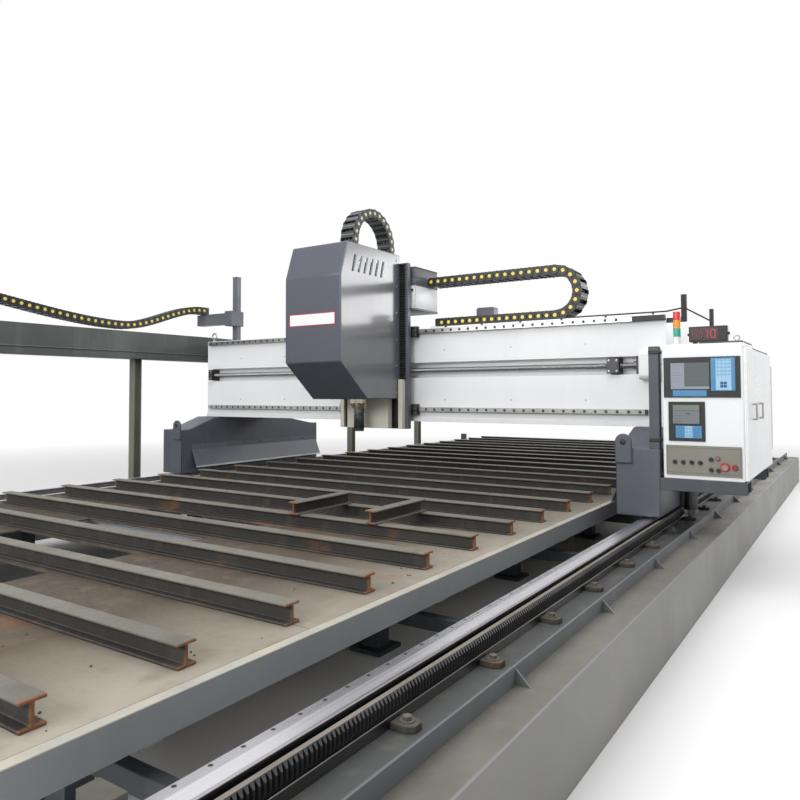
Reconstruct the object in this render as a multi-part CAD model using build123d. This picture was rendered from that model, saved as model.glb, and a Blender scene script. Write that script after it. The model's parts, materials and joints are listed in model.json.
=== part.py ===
from build123d import *
import math
import os

os.makedirs("parts", exist_ok=True)

# Gantry machine for cutting and drilling plate. Millimetres, +Z up, +X along the gantry,
# +Y along the rails away from the operator. The origin is on the floor, under a middle leg.

# Bed
BED_NEAR = -6300.0
BED_FAR = 6300.0
BED_TOP = 380.0
BED_WALL = 20.0
TABLE_GAP = 318.0
BED_WIDTH_RIGHT = 490.0
BED_WIDTH_LEFT = 340.0
RAIL_TOP = 500.0
RAIL_INSET = 105.0
RAIL_HEAD_WIDTH = 110.0
RAIL_FOOT_HEIGHT = 40.0
RAIL_FOOT_INNER_STEP = 15.0
RACK_GROOVE = 20.0
RACK_WIDTH = 30.0
RACK_HEIGHT = 68.0
CLAMP_PITCH = 650.0
CLAMP_LENGTH = 80.0
CLAMP_HEIGHT = 24.0
CLAMP_WIDTH = 90.0
CLAMP_SHOULDER = 63.0
STOP_LENGTH = 60.0
STOP_HEIGHT = 110.0
STOP_END_MARGIN = 40.0
LIP_HEIGHT = 90.0
LIP_THICK = 10.0
TROUGH_WIDTH = 170.0
TROUGH_TOP = 400.0
TROUGH_SHEET = 8.0
GUSSET_PITCH = 1050.0
GUSSET_SIZE = 60.0

# Table
TABLE_HALF_WIDTH = 2422.0
DECK_TOP = 505.0
DECK_THICK = 12.0
DECK_PANEL_SLATS = 2
DECK_GAP = 6.0
CHANNEL_HEIGHT = 128.0
CHANNEL_WIDTH = 50.0
CHANNEL_WALL = 9.0
GIRDER_HEIGHT = 150.0
GIRDER_WIDTH = 100.0
GIRDER_FLANGE = 10.0
GIRDER_WEB = 8.0
GIRDER_PITCH = 1900.0
GIRDER_END_MARGIN = 600.0
LEG_SIZE = 120.0
LEG_INSET = 505.0
TIE_BOTTOM = 180.0
TIE_TOP = 260.0
PAD_SIZE = 220.0
PAD_THICK = 25.0
SLAT_PITCH = 566.0
SLAT_END_MARGIN = 258.0
SLAT_END_GAP = 145.0
SLAT_HEIGHT = 94.0
SLAT_FLANGE = 88.0
SLAT_FLANGE_THICK = 12.0
SLAT_WEB = 12.0
PACKER_LENGTH = 660.0
PACKER_Y = -2957.0
PACKER_X = (803.0, 1505.0)
HOLE_LENGTH = 1360.0
HOLE_WIDTH = 400.0
HOLE_X = -145.0

# Cable-chain trough on the left
TRAY_STANDOFF = 140.0
TRAY_FAR = 5350.0
TRAY_WIDTH = 220.0
TRAY_BOTTOM = 1926.0
TRAY_WALL_HEIGHT = 335.0
TRAY_SHEET = 10.0
TRAY_RIB_RISE = 70.0
TRAY_RIB_HEIGHT = 10.0
COLUMN_PITCH = 2200.0
COLUMN_END_MARGIN = 159.0
COLUMN_SIZE = 105.0
COLUMN_FLANGE = 10.0
BASE_SIZE = 260.0
BASE_THICK = 20.0
ANCHOR_SPACING = 200.0
ANCHOR_HOLE_R = 11.0

# Gantry
TRUCK_FRONT = -1488.0
TRUCK_LENGTH = 2548.0
TRUCK_GAP = 233.0
TRUCK_WIDTH = 345.0
TRUCK_WALL = 20.0
TRUCK_BOTTOM = 515.0
TRUCK_END_TOP = 1050.0
TRUCK_END_FLAT = 118.0
BEAM_BOTTOM = 1195.0
BEAM_HEIGHT = 985.0
BEAM_FRONT = -850.0
BEAM_DEPTH = 900.0
BEAM_ON_TRUCK = 265.0
BEAM_WALL = 20.0
BEAM_SEAT_MARGIN = 100.0
BEAM_LIP = 15.0
BEAM_LIP_HEIGHT = 40.0
RECESS_DEPTH = 90.0
RECESS_HEIGHT = 160.0
WHEEL_R = 150.0
WHEEL_WIDTH = 90.0
WHEEL_INSET = 368.0
AXLE_R = 30.0
FIT = 0.05
SEAT = 0.3
PINION_R = 60.0
PINION_TEETH = 18
TOOTH_DEPTH = 14.0
PINION_HEIGHT = 50.0
PINION_SHAFT_R = 18.0
PINION_LIFT = 12.0
MESH_GAP = 1.0
DRIVE_Y = -700.0
DRIVE_R = 60.0
DRIVE_HEIGHT = 180.0
DRIVE_PLATE = 30.0
DRIVE_PLATE_HALF = 100.0
DRIVE_GAP = 8.0
GUARD_TOP = 860.0
GUARD_BEND = 800.0
GUARD_TIP = 580.0
GUARD_REACH = 95.0
GUARD_SHEET = 6.0
GUARD_FRONT_INSET = 160.0
GUARD_BACK_INSET = 30.0
EAR_WIDTH = 136.0
EAR_THICK = 25.0
EAR_BOTTOM = 930.0
EAR_HOLE_Z = 1100.0
EAR_HOLE_R = 25.0
WAY_WIDTH = 45.0
WAY_HEIGHT = 45.0
WAY_HEAD = 14.0
WAY_WAIST_AT = 22.0
WAY_WAIST = 8.0
WAY_FOOT = 30.0
WAY_STOP = 20.0
WAY_LEFT_INSET = 60.0
WAY_RIGHT_INSET = 280.0
WAY_LOWER_INSET = 180.0
WAY_UPPER_Z = 2148.0
WAY_LOWER_Z = 1323.0
SCREW_R = 25.0
SCREW_Z = 1737.0
SCREW_Y = -825.0
BLOCK_LEFT_INSET = 60.0
BLOCK_LEFT_LENGTH = 70.0
BLOCK_RIGHT_INSET = 510.0
BLOCK_RIGHT_LENGTH = 110.0
BLOCK_HALF = 70.0
COUPLING_R = 38.0
COUPLING_LENGTH = 50.0
MOTOR_PLATE_INSET = 230.0
MOTOR_PLATE_THICK = 20.0
MOTOR_PLATE_FLARE = 10.0
MOTOR_COVER_LENGTH = 180.0
MOTOR_COVER_HALF = 130.0
MOTOR_COVER_DEPTH = 110.0
MOTOR_COVER_ROUND = 45.0
POST_INSET = 190.0
POST_Y = -520.0
POST_SIZE = 80.0
POST_TOP = 3065.0
POST_CAP = 5.0
ARM_HEIGHT = 150.0
ARM_DEPTH = 120.0
ARM_OVERHANG = 120.0
COLLAR_WALL = 25.0
COLLAR_RISE = 25.0
CORNER_POST_SIZE = 78.0
CORNER_POST_INSET = 8.0
CORNER_POST_TOP = 1860.0
CORNER_CLAMP = 8.0
CORNER_CLAMP_HEIGHT = 26.0
CORNER_CLAMP_INSET = 60.0
AIR_LINE_R = 7.0
AIR_LINE_Y = -838.0
AIR_CLIP = 22.0
AIR_CLIP_HALF = 8.0
BEAM_EYE_R = 50.0
BEAM_EYE_INSET = 60.0
CAB_EYE_R = 24.0
CAB_EYE_INSET = 45.0
EYE_SHARE = 0.4
EYE_FOOT_SHARE = 0.45
EYE_COLLAR_SHARE = 0.7
AIR_CLIP_PITCH = 420.0
AIR_LINE_X = 600.0
AIR_LEAD = 60.0
AIR_LAP = 20.0
BEAM_RISER_R = 25.0
BEAM_RISER_REACH = 140.0
BEAM_RISER_Y = -800.0
BEAM_RISER_DROP = 74.0
BEAM_RISER_RISE = 163.0
BEAM_RISER_ARM = 40.0
AIR_RISE = 50.0
AIR_END_RISE = 200.0
SWITCH_X = 840.0
SWITCH_Y = -340.0
SWITCH_WIDTH = 210.0
SWITCH_DEPTH = 100.0
SWITCH_HEIGHT = 240.0
SWITCH_ARM = 70.0
SWITCH_ARM_R = 9.0
SWITCH_ROLLER_HALF = 15.0
SWITCH_ROUND = 26.0

# Control cabinet
CAB_GAP = 28.0
CAB_WIDTH = 577.0
CAB_BOTTOM = 830.0
CAB_HEIGHT = 1038.0
CAB_DEPTH = 1600.0
CAB_SHEET = 6.0
CAB_RIM = 45.0
CAB_ROOF_STEP = 30.0
RACK_SHEET = 10.0
RACK_MARGIN = 120.0
MODULE_WIDTH = 190.0
MODULE_PITCH = 260.0
MODULE_DEPTH = 160.0
MODULE_HEIGHT = 420.0
STAND_HEIGHT = 95.0
STAND_SHEET = 8.0
STAND_DEPTH = 200.0
STAND_Y = (-1488.0, -350.0)
STAND_OVERHANG = 15.0
DOOR_THICK = 20.0
DOOR_SPLIT = -982.0
DOOR_GAP = 6.0
DOOR_EDGE = 10.0
HINGE_R = 9.0
HINGE_INSET = 140.0
PULL_HEIGHT = 130.0
PULL_Z = 1345.0
PULL_INSET = 190.0
PULL_BAR = 14.0
PULL_REACH = 34.0
PULL_GRIP = 12.0
PANEL_PROUD = 10.0
UPPER_PANEL = (13.0, 558.0, 626.0, 935.0)
LOWER_PANEL = (45.0, 309.0, 292.0, 594.0)
STRIP_PANEL = (24.0, 558.0, 32.0, 260.0)
KNOB_R = 14.0
KNOB_LENGTH = 18.0
GRIP_HALF = 4.0
STEM_HALF = 6.0
STEM_LENGTH = 9.0
STEM_SPARE = 1.0
FLAT_KNOB_SHARE = 0.6
KNOB_FIRST_X = 88.0
KNOB_SPACING = 61.0
KNOB_COUNT = 4
KNOB_ROW_Z = 131.0
BUTTON_PLACES = [(347.0, 160.0), (347.0, 83.0), (398.0, 79.0)]
LAMP_PLACE = (393.0, 169.0)
STOP_BUTTON_X = 445.0
STOP_BUTTON_R = 24.0
RED_BUTTON_X = 511.0
RED_BUTTON_R = 17.0
RED_BUTTON_Z = 106.0
BUTTON_TRAVEL = 4.0
METER_LEFT = 198.0
METER_WIDTH = 273.0
METER_HEIGHT = 118.0
METER_DEPTH = 60.0
METER_FOOT = 14.0
METER_SETBACK = 20.0
METER_FOOT_INSET = 40.0
METER_FOOT_HALF = 15.0
METER_FOOT_STEP = 10.0
METER_KNOB_R = 12.0
METER_KNOB_REACH = 14.0
LIGHT_INSET = 102.0
LIGHT_Y = -1420.0
LIGHT_R = 29.0
LIGHT_LENS = 66.0
LIGHT_BASE = 62.0
LIGHT_COUNT = 3
LENS_STEP = 1.0
RISER_R = 17.0
RISER_Y = -1100.0
RISER_INSET = 302.0
RISER_HEIGHT = 300.0

# Carriage and head
HEAD_X = -112.0
PLATE_HALF_WIDTH = 448.0
PLATE_BACK = -930.0
PLATE_THICK = 60.0
PLATE_BOTTOM = 1118.0
PLATE_TOP = 2880.0
BLOCK_LENGTH = 180.0
BLOCK_HEIGHT = 120.0
BLOCK_DEPTH = 68.0
BLOCK_INSET = 110.0
WAY_CLEARANCE = 0.5
GROOVE_OVERRUN = 50.0
NUT_LENGTH = 120.0
NUT_HALF = 50.0
SHELF_BOTTOM = 2380.0
SHELF_THICK = 20.0
SHELF_BACK = -430.0
SHELF_LEAD = 30.0
BOX_LEFT = 240.0
BOX_WIDTH = 135.0
BOX_FRONT = -900.0
BOX_HEIGHT = 450.0
Z_WAY_OFFSET = 210.0
Z_WAY_WIDTH = 45.0
Z_WAY_HEIGHT = 34.0
Z_WAY_BOTTOM = 1140.0
Z_WAY_TOP = 2630.0
COVER_OFFSET = 386.0
COVER_WIDTH = 52.0
COVER_DEPTH = 60.0
COVER_TOP = 1640.0
SLIDE_HALF_WIDTH = 270.0
SLIDE_GAP = 42.0
SLIDE_THICK = 73.0
SLIDE_BOTTOM = 1124.0
SLIDE_TOP = 2300.0
Z_BLOCK_LENGTH = 200.0
Z_BLOCK_LOW = 420.0
Z_BLOCK_HIGH = 280.0
Z_BLOCK_WIDTH = 110.0
Z_BLOCK_DEPTH = 30.0
Z_SCREW_R = 16.0
Z_SCREW_BOTTOM = 1160.0
Z_SCREW_TOP = 2790.0
Z_BEARING_HALF = 36.0
Z_BEARING_DEPTH = 40.0
Z_BEARING_LENGTH = 50.0
Z_MOTOR_HALF = 60.0
Z_MOTOR_HEIGHT = 120.0
HEADSTOCK_HALF = 150.0
HEADSTOCK_DEPTH = 295.0
HEADSTOCK_BOTTOM = 1445.0
HEADSTOCK_TOP = 2300.0
SPINDLE_Y = -1252.0
SPINDLE_R = 40.0
JOURNAL_LENGTH = 300.0
JOURNAL_SPARE = 1.0
NOSE_R = 95.0
NOSE_CONE = 18.0
NOSE_TOP = 1440.0
NOSE_BOTTOM = 1335.0
TOOL_R = 55.0
TOOL_TIP = 1097.0
MOTOR_R = 128.0
MOTOR_TOP = 2680.0
CAP_THICK = 20.0
HOOD_HALF_WIDTH = 352.0
HOOD_FRONT = -2010.0
HOOD_BACK = -1000.0
HOOD_ROOF_FRONT = -1900.0
HOOD_TOP = 2965.0
HOOD_UPPER_CREASE = 2635.0
HOOD_LOWER_CREASE = 1795.0
HOOD_BOTTOM = 1435.0
HOOD_LOW_FRONT = -1591.0
HOOD_SHEET = 5.0
HOOD_NOTCH_HALF = 130.0
HOOD_NOTCH_FRONT = -1500.0
HOOD_NOSE_R = 115.0
HOOD_ARM = 40.0
HOOD_CLEAR = 2.0
LOUVRE_COUNT = 6
LOUVRE_PITCH = 95.0
LOUVRE_FIRST_Y = -1840.0
LOUVRE_TOP = 2850.0
LOUVRE_HEIGHT = 170.0
LOUVRE_WIDTH = 16.0
LOUVRE_SLANT = 45.0

# Cable chains
LINK_HEIGHT = 100.0
LINK_PLATE = 7.0
LINK_GAP = 0.4
LINK_TONGUE = 5.0
LINK_BAR = 10.0
LINK_BAR_HALF = 15.0
CROSS_PITCH = 115.0
CROSS_WIDTH = 220.0
CROSS_Y = -550.0
CROSS_R = 225.0
CROSS_BEND_INSET = 1085.0
CROSS_LOW_RUN = 1365.0
CROSS_TRAY_SHEET = 5.0
CROSS_TRAY_FLOOR = 27.0
CROSS_TRAY_LIP = 40.0
CROSS_TRAY_SIDE = 15.0
CROSS_TRAY_LEAD = 40.0
CROSS_TRAY_INSET = 20.0
HEAD_CHAIN_R = 335.0
HEAD_CHAIN_WIDTH = 180.0
HEAD_CHAIN_Y = -1080.0
HEAD_CHAIN_Z = 3100.0
LONG_PITCH = 180.0
LONG_WIDTH = 150.0
LONG_R = 320.0
LONG_BEND_Y = -4600.0
LONG_FIXED_Y = -300.0
LONG_SAG_Y = -1970.0
LONG_SAG_Z = 2337.0
LONG_END_Y = -590.0
LONG_END_FLAT = 160.0

# How many flats stand for a round form
WHEEL_COUNT = 36
FINE_COUNT = 24
PLAIN_COUNT = 16
COARSE_COUNT = 8
TURN_STEPS = 48
EASE_STEPS = 24

# Worked out from the sizes above
BED_INNER = TABLE_HALF_WIDTH + TABLE_GAP
BED_OUTER_RIGHT = BED_INNER + BED_WIDTH_RIGHT
BED_OUTER_LEFT = BED_INNER + BED_WIDTH_LEFT
TROUGH_OUTER = BED_OUTER_RIGHT + TROUGH_WIDTH
TRAY_X = -(BED_OUTER_LEFT + TRAY_STANDOFF)
SLAT_HALF_LENGTH = TABLE_HALF_WIDTH - SLAT_END_GAP
LEG_SPREAD = TABLE_HALF_WIDTH - LEG_INSET
TRUCK_INNER = TABLE_HALF_WIDTH + TRUCK_GAP
RAIL_HEAD_INNER = BED_INNER + RAIL_INSET
RAIL_HEAD_OUTER = RAIL_HEAD_INNER + RAIL_HEAD_WIDTH
RACK_INNER = RAIL_HEAD_OUTER + RACK_GROOVE
RACK_OUTER = RACK_INNER + RACK_WIDTH
RAIL_CENTRE = RAIL_HEAD_INNER + RAIL_HEAD_WIDTH / 2
LEDGE_TOP = BED_TOP + RAIL_FOOT_HEIGHT
TRUCK_OUTER = TRUCK_INNER + TRUCK_WIDTH
TRUCK_BACK = TRUCK_FRONT + TRUCK_LENGTH
WHEEL_Y = (TRUCK_FRONT + WHEEL_INSET, TRUCK_BACK - WHEEL_INSET)
BEAM_HALF_LENGTH = TRUCK_INNER + BEAM_ON_TRUCK
WAY_LEFT_END = WAY_LEFT_INSET - BEAM_HALF_LENGTH
WAY_RIGHT_END = BEAM_HALF_LENGTH - WAY_RIGHT_INSET
LOWER_WAY_END = BEAM_HALF_LENGTH - WAY_LOWER_INSET
WAY_ENDS = ((WAY_LOWER_Z, LOWER_WAY_END), (WAY_UPPER_Z, WAY_RIGHT_END))
BLOCK_LEFT_X = BLOCK_LEFT_INSET - BEAM_HALF_LENGTH
BLOCK_RIGHT_X = BEAM_HALF_LENGTH - BLOCK_RIGHT_INSET
MOTOR_PLATE_X = BEAM_HALF_LENGTH - MOTOR_PLATE_INSET
POST_X = POST_INSET - BEAM_HALF_LENGTH
ARM_END = TRAY_X - ARM_OVERHANG
CROSS_BEND_X = BEAM_HALF_LENGTH - CROSS_BEND_INSET
CROSS_FIXED_X = CROSS_BEND_X - CROSS_LOW_RUN
BEAM_TOP = BEAM_BOTTOM + BEAM_HEIGHT
BEAM_BACK = BEAM_FRONT + BEAM_DEPTH
RECESS_BACK = BEAM_FRONT + RECESS_DEPTH
WHEEL_Z = RAIL_TOP + WHEEL_R
PINION_X = RACK_OUTER + PINION_R + MESH_GAP
PINION_Z = LEDGE_TOP + PINION_LIFT
DRIVE_Z = PINION_Z + PINION_HEIGHT + DRIVE_GAP
CAB_LEFT = TRUCK_OUTER + CAB_GAP
CAB_RIGHT = CAB_LEFT + CAB_WIDTH
RISER_X = CAB_LEFT + RISER_INSET
BEAM_RISER_X = BEAM_HALF_LENGTH + BEAM_RISER_REACH
LIGHT_X = CAB_LEFT + LIGHT_INSET
CAB_TOP = CAB_BOTTOM + CAB_HEIGHT
CAB_FRONT = TRUCK_FRONT
CAB_BACK = CAB_FRONT + CAB_DEPTH
STAND_BOTTOM = CAB_BOTTOM - STAND_HEIGHT
PANEL_FACE = CAB_FRONT - PANEL_PROUD
PLATE_FRONT = PLATE_BACK - PLATE_THICK
SLIDE_BACK = PLATE_FRONT - SLIDE_GAP
SLIDE_FRONT = SLIDE_BACK - SLIDE_THICK
HEADSTOCK_FRONT = SLIDE_FRONT - HEADSTOCK_DEPTH
Z_SCREW_Y = PLATE_FRONT - SLIDE_GAP / 2
SHELF_TOP = SHELF_BOTTOM + SHELF_THICK
TRAY_FLOOR = TRAY_BOTTOM + TRAY_SHEET
TRAY_TOP = TRAY_BOTTOM + TRAY_WALL_HEIGHT
LONG_LOW_Z = TRAY_FLOOR + SEAT + LINK_HEIGHT / 2
LONG_END_Z = LONG_LOW_Z + 2 * LONG_R
ARM_TOP = LONG_END_Z - LINK_HEIGHT / 2 - SEAT
CROSS_LOW_Z = BEAM_TOP + CROSS_TRAY_FLOOR + SEAT + LINK_HEIGHT / 2
CROSS_HIGH_Z = CROSS_LOW_Z + 2 * CROSS_R
BOX_RIGHT = BOX_LEFT + BOX_WIDTH
PLATE_LEFT = HEAD_X - PLATE_HALF_WIDTH
PLATE_RIGHT = HEAD_X + PLATE_HALF_WIDTH


def block(x0, x1, y0, y1, z0, z1):
    centre = ((x0 + x1) / 2, (y0 + y1) / 2, (z0 + z1) / 2)
    return Pos(*centre) * Box(abs(x1 - x0), abs(y1 - y0), abs(z1 - z0))


def along_x(points, x0, x1):
    face = make_face(Polyline(points, close=True))
    return extrude(Plane.YZ.offset(x0) * face, x1 - x0)


def along_y(points, y0, y1):
    face = make_face(Polyline(points, close=True))
    return extrude(Plane.XZ.offset(-y1) * face, y1 - y0)


def along_z(points, z0, z1):
    face = make_face(Polyline(points, close=True))
    return extrude(Plane.XY.offset(z0) * face, z1 - z0)


def rod(radius, length, sides):
    if sides is None:
        return Cylinder(radius, length)
    return extrude(RegularPolygon(radius, sides), length / 2, both=True)


def rod_x(y, z, radius, x0, x1, sides=None):
    return Pos((x0 + x1) / 2, y, z) * Rot(0, 90, 0) * rod(radius, x1 - x0, sides)


def rod_y(x, z, radius, y0, y1, sides=None):
    return Pos(x, (y0 + y1) / 2, z) * Rot(90, 0, 0) * rod(radius, y1 - y0, sides)


def rod_z(x, y, radius, z0, z1, sides=None):
    return Pos(x, y, (z0 + z1) / 2) * rod(radius, z1 - z0, sides)


def bore_x(y, z, radius, x0, x1):
    section = RegularPolygon(radius, PLAIN_COUNT, major_radius=False)
    return Pos(x0, y, z) * Rot(0, 90, 0) * extrude(section, x1 - x0)


def bore_z(x, y, radius, z0, z1):
    section = RegularPolygon(radius, PLAIN_COUNT, major_radius=False)
    return Pos(x, y, z0) * extrude(section, z1 - z0)


def mirrored(shape):
    return mirror(shape, Plane.YZ)


def steps(first, last, pitch):
    count = int((last - first) / pitch + 0.001) + 1
    start = (first + last) / 2 - (count - 1) * pitch / 2
    return [start + index * pitch for index in range(count)]


def rows(first, last, pitch):
    count = int((last - first) / pitch + 0.001) + 1
    return [first + index * pitch for index in range(count)]


def save(name, *shapes):
    solids = [solid for shape in shapes for solid in shape.solids()]
    export_step(solids[0] if len(solids) == 1 else Compound(solids), f"parts/{name}.step")


def i_section(height, flange, flange_thick, web):
    a, b, w, h = flange / 2, height / 2, web / 2, height / 2 - flange_thick
    right = [(a, -b), (a, -h), (w, -h), (w, h), (a, h), (a, b)]
    return right + [(-x, z) for x, z in reversed(right)]


def moved(points, dx, dz):
    return [(x + dx, z + dz) for x, z in points]


# Bed, rails and racks
def bed_beam(outer):
    shell = block(BED_INNER, outer, BED_NEAR, BED_FAR, 0, BED_TOP)
    inner = BED_INNER + BED_WALL
    return shell - block(inner, outer - BED_WALL, BED_NEAR, BED_FAR, BED_WALL, BED_TOP - BED_WALL)


def rail():
    foot_inner = RAIL_HEAD_INNER - RAIL_FOOT_INNER_STEP
    outline = [
        (foot_inner, BED_TOP),
        (RACK_OUTER, BED_TOP),
        (RACK_OUTER, LEDGE_TOP),
        (RAIL_HEAD_OUTER, LEDGE_TOP),
        (RAIL_HEAD_OUTER, RAIL_TOP),
        (RAIL_HEAD_INNER, RAIL_TOP),
        (RAIL_HEAD_INNER, LEDGE_TOP),
        (foot_inner, LEDGE_TOP),
    ]
    return along_y(outline, BED_NEAR, BED_FAR)


def rack():
    return block(RACK_INNER, RACK_OUTER, BED_NEAR, BED_FAR, LEDGE_TOP, LEDGE_TOP + RACK_HEIGHT)


def clamp(y):
    toe = RACK_OUTER + SEAT
    half, top = CLAMP_LENGTH / 2, BED_TOP + CLAMP_HEIGHT
    shoulder = toe + CLAMP_SHOULDER
    heel = toe + CLAMP_WIDTH
    outline = [(toe, y - half), (shoulder, y - half), (heel, y - half / 2)]
    outline += [(heel, y + half / 2), (shoulder, y + half), (toe, y + half)]
    return along_z(outline, BED_TOP, top)


def end_stops():
    inner = RAIL_HEAD_INNER
    pieces = []
    for y0 in (BED_NEAR + STOP_END_MARGIN, BED_FAR - STOP_END_MARGIN - STOP_LENGTH):
        stop = block(inner, RAIL_HEAD_OUTER, y0, y0 + STOP_LENGTH, RAIL_TOP, RAIL_TOP + STOP_HEIGHT)
        pieces += [stop, mirrored(stop)]
    return pieces


save("bed_beams", bed_beam(BED_OUTER_RIGHT), mirrored(bed_beam(BED_OUTER_LEFT)))
save("rails", rail(), mirrored(rail()))
save("rack_bars", rack(), mirrored(rack()))
clamp_places = steps(BED_NEAR + CLAMP_PITCH / 2, BED_FAR - CLAMP_PITCH / 2, CLAMP_PITCH)
right_clamps = [clamp(y) for y in clamp_places]
save("rail_clamps", *right_clamps, *[mirrored(piece) for piece in right_clamps], *end_stops())


# Side trough with its upright lip and gussets
def side_trough():
    top = [
        (BED_OUTER_RIGHT, TROUGH_TOP - TROUGH_SHEET),
        (TROUGH_OUTER - TROUGH_SHEET, TROUGH_TOP - TROUGH_SHEET),
        (TROUGH_OUTER - TROUGH_SHEET, 0),
        (TROUGH_OUTER, 0),
        (TROUGH_OUTER, TROUGH_TOP),
        (BED_OUTER_RIGHT, TROUGH_TOP),
    ]
    return along_y(top, BED_NEAR, BED_FAR)


def trough_lip():
    lip_left = BED_OUTER_RIGHT - LIP_THICK
    lip = block(lip_left, BED_OUTER_RIGHT, BED_NEAR, BED_FAR, BED_TOP, BED_TOP + LIP_HEIGHT)
    corner = [
        (BED_OUTER_RIGHT, TROUGH_TOP),
        (BED_OUTER_RIGHT + GUSSET_SIZE, TROUGH_TOP),
        (BED_OUTER_RIGHT, TROUGH_TOP + GUSSET_SIZE),
    ]
    for y in steps(BED_NEAR + GUSSET_PITCH / 2, BED_FAR - GUSSET_PITCH / 2, GUSSET_PITCH):
        lip += along_y(corner, y - LIP_THICK / 2, y + LIP_THICK / 2)
    return lip


save("side_trough", side_trough(), trough_lip())


# Table
def side_channel():
    outer = TABLE_HALF_WIDTH
    z0 = DECK_TOP - CHANNEL_HEIGHT
    outline = [
        (outer, z0),
        (outer, DECK_TOP),
        (outer - CHANNEL_WIDTH, DECK_TOP),
        (outer - CHANNEL_WIDTH, DECK_TOP - CHANNEL_WALL),
        (outer - CHANNEL_WALL, DECK_TOP - CHANNEL_WALL),
        (outer - CHANNEL_WALL, z0 + CHANNEL_WALL),
        (outer - CHANNEL_WIDTH, z0 + CHANNEL_WALL),
        (outer - CHANNEL_WIDTH, z0),
    ]
    return along_y(outline, BED_NEAR, BED_FAR)


DECK_HALF = TABLE_HALF_WIDTH - CHANNEL_WIDTH
GIRDER_TOP = DECK_TOP - DECK_THICK
GIRDER_BOTTOM = GIRDER_TOP - GIRDER_HEIGHT
girder_places = steps(BED_NEAR + GIRDER_END_MARGIN, BED_FAR - GIRDER_END_MARGIN, GIRDER_PITCH)


slat_places = rows(BED_NEAR + SLAT_END_MARGIN, BED_FAR - SLAT_END_MARGIN, SLAT_PITCH)
deck_joints = [BED_NEAR, *slat_places[DECK_PANEL_SLATS:-1:DECK_PANEL_SLATS], BED_FAR]


def deck_panel(y0, y1):
    panel = block(-DECK_HALF, DECK_HALF, y0 + DECK_GAP / 2, y1 - DECK_GAP / 2, GIRDER_TOP, DECK_TOP)
    x0, x1 = HOLE_X - HOLE_LENGTH / 2, HOLE_X + HOLE_LENGTH / 2
    for y in slat_places:
        middle = y + SLAT_PITCH / 2
        if y0 < middle < y1:
            panel -= block(x0, x1, middle - HOLE_WIDTH / 2, middle + HOLE_WIDTH / 2, GIRDER_TOP, DECK_TOP)
    return panel


def girder(y):
    inner = TABLE_HALF_WIDTH - CHANNEL_WALL
    section = i_section(GIRDER_HEIGHT, GIRDER_WIDTH, GIRDER_FLANGE, GIRDER_WEB)
    beam = along_x(moved(section, y, (GIRDER_TOP + GIRDER_BOTTOM) / 2), -inner, inner)
    notch = DECK_TOP - CHANNEL_HEIGHT
    y0, y1 = y - GIRDER_WIDTH / 2, y + GIRDER_WIDTH / 2
    for side in (-1, 1):
        beam -= block(side * DECK_HALF, side * inner, y0, y1, GIRDER_BOTTOM, notch + CHANNEL_WALL)
    return beam


def leg(x, y):
    half, pad = LEG_SIZE / 2, PAD_SIZE / 2
    post = block(x - half, x + half, y - half, y + half, PAD_THICK, GIRDER_BOTTOM)
    stand = post + block(x - pad, x + pad, y - pad, y + pad, 0, PAD_THICK)
    if x == 0:
        return stand
    side = math.copysign(1, x)
    return stand + block(x + side * half, side * BED_INNER, y - half / 2, y + half / 2, TIE_BOTTOM, TIE_TOP)


slat_section = i_section(SLAT_HEIGHT, SLAT_FLANGE, SLAT_FLANGE_THICK, SLAT_WEB)


def slat(y):
    return along_x(moved(slat_section, y, DECK_TOP + SLAT_HEIGHT / 2), -SLAT_HALF_LENGTH, SLAT_HALF_LENGTH)


def packer(x):
    section = moved(slat_section, x, DECK_TOP + SLAT_HEIGHT * 1.5)
    return along_y(section, PACKER_Y - PACKER_LENGTH / 2, PACKER_Y + PACKER_LENGTH / 2)


girders = [girder(y) for y in girder_places]
save("table_frame", side_channel(), mirrored(side_channel()), *girders)
save("deck_plates", *[deck_panel(y0, y1) for y0, y1 in zip(deck_joints, deck_joints[1:])])
save("table_legs", *[leg(x, y) for y in girder_places for x in (-LEG_SPREAD, 0, LEG_SPREAD)])
save("slats", *[slat(y) for y in slat_places], *[packer(x) for x in PACKER_X])


# Cable-chain trough on columns
def chain_trough():
    half = TRAY_WIDTH / 2
    x0, x1 = TRAY_X - half, TRAY_X + half
    outline = [
        (x0, TRAY_BOTTOM),
        (x1, TRAY_BOTTOM),
        (x1, TRAY_TOP),
        (x1 - TRAY_SHEET, TRAY_TOP),
        (x1 - TRAY_SHEET, TRAY_FLOOR),
        (x0 + TRAY_SHEET, TRAY_FLOOR),
        (x0 + TRAY_SHEET, TRAY_TOP),
        (x0, TRAY_TOP),
    ]
    rib_low = TRAY_FLOOR + TRAY_RIB_RISE
    rib = block(x1, x1 + TRAY_SHEET, BED_NEAR, TRAY_FAR, rib_low, rib_low + TRAY_RIB_HEIGHT)
    return along_y(outline, BED_NEAR, TRAY_FAR) + rib


def column(y):
    section = i_section(COLUMN_SIZE, COLUMN_SIZE, COLUMN_FLANGE, COLUMN_FLANGE)
    return along_z(moved(section, TRAY_X, y), BASE_THICK, TRAY_BOTTOM)


def base_plate(y):
    half, anchor = BASE_SIZE / 2, ANCHOR_SPACING / 2
    plate = block(TRAY_X - half, TRAY_X + half, y - half, y + half, 0, BASE_THICK)
    if y in (column_places[0], column_places[-1]):
        for dy in (-anchor, anchor):
            plate -= rod_z(TRAY_X, y + dy, ANCHOR_HOLE_R, 0, BASE_THICK)
    return plate


column_places = rows(BED_NEAR + COLUMN_END_MARGIN, TRAY_FAR - COLUMN_END_MARGIN, COLUMN_PITCH)
save("chain_trough", chain_trough())
plates = [base_plate(y) for y in column_places]
save("trough_columns", *[column(y) for y in column_places], *plates)


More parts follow.
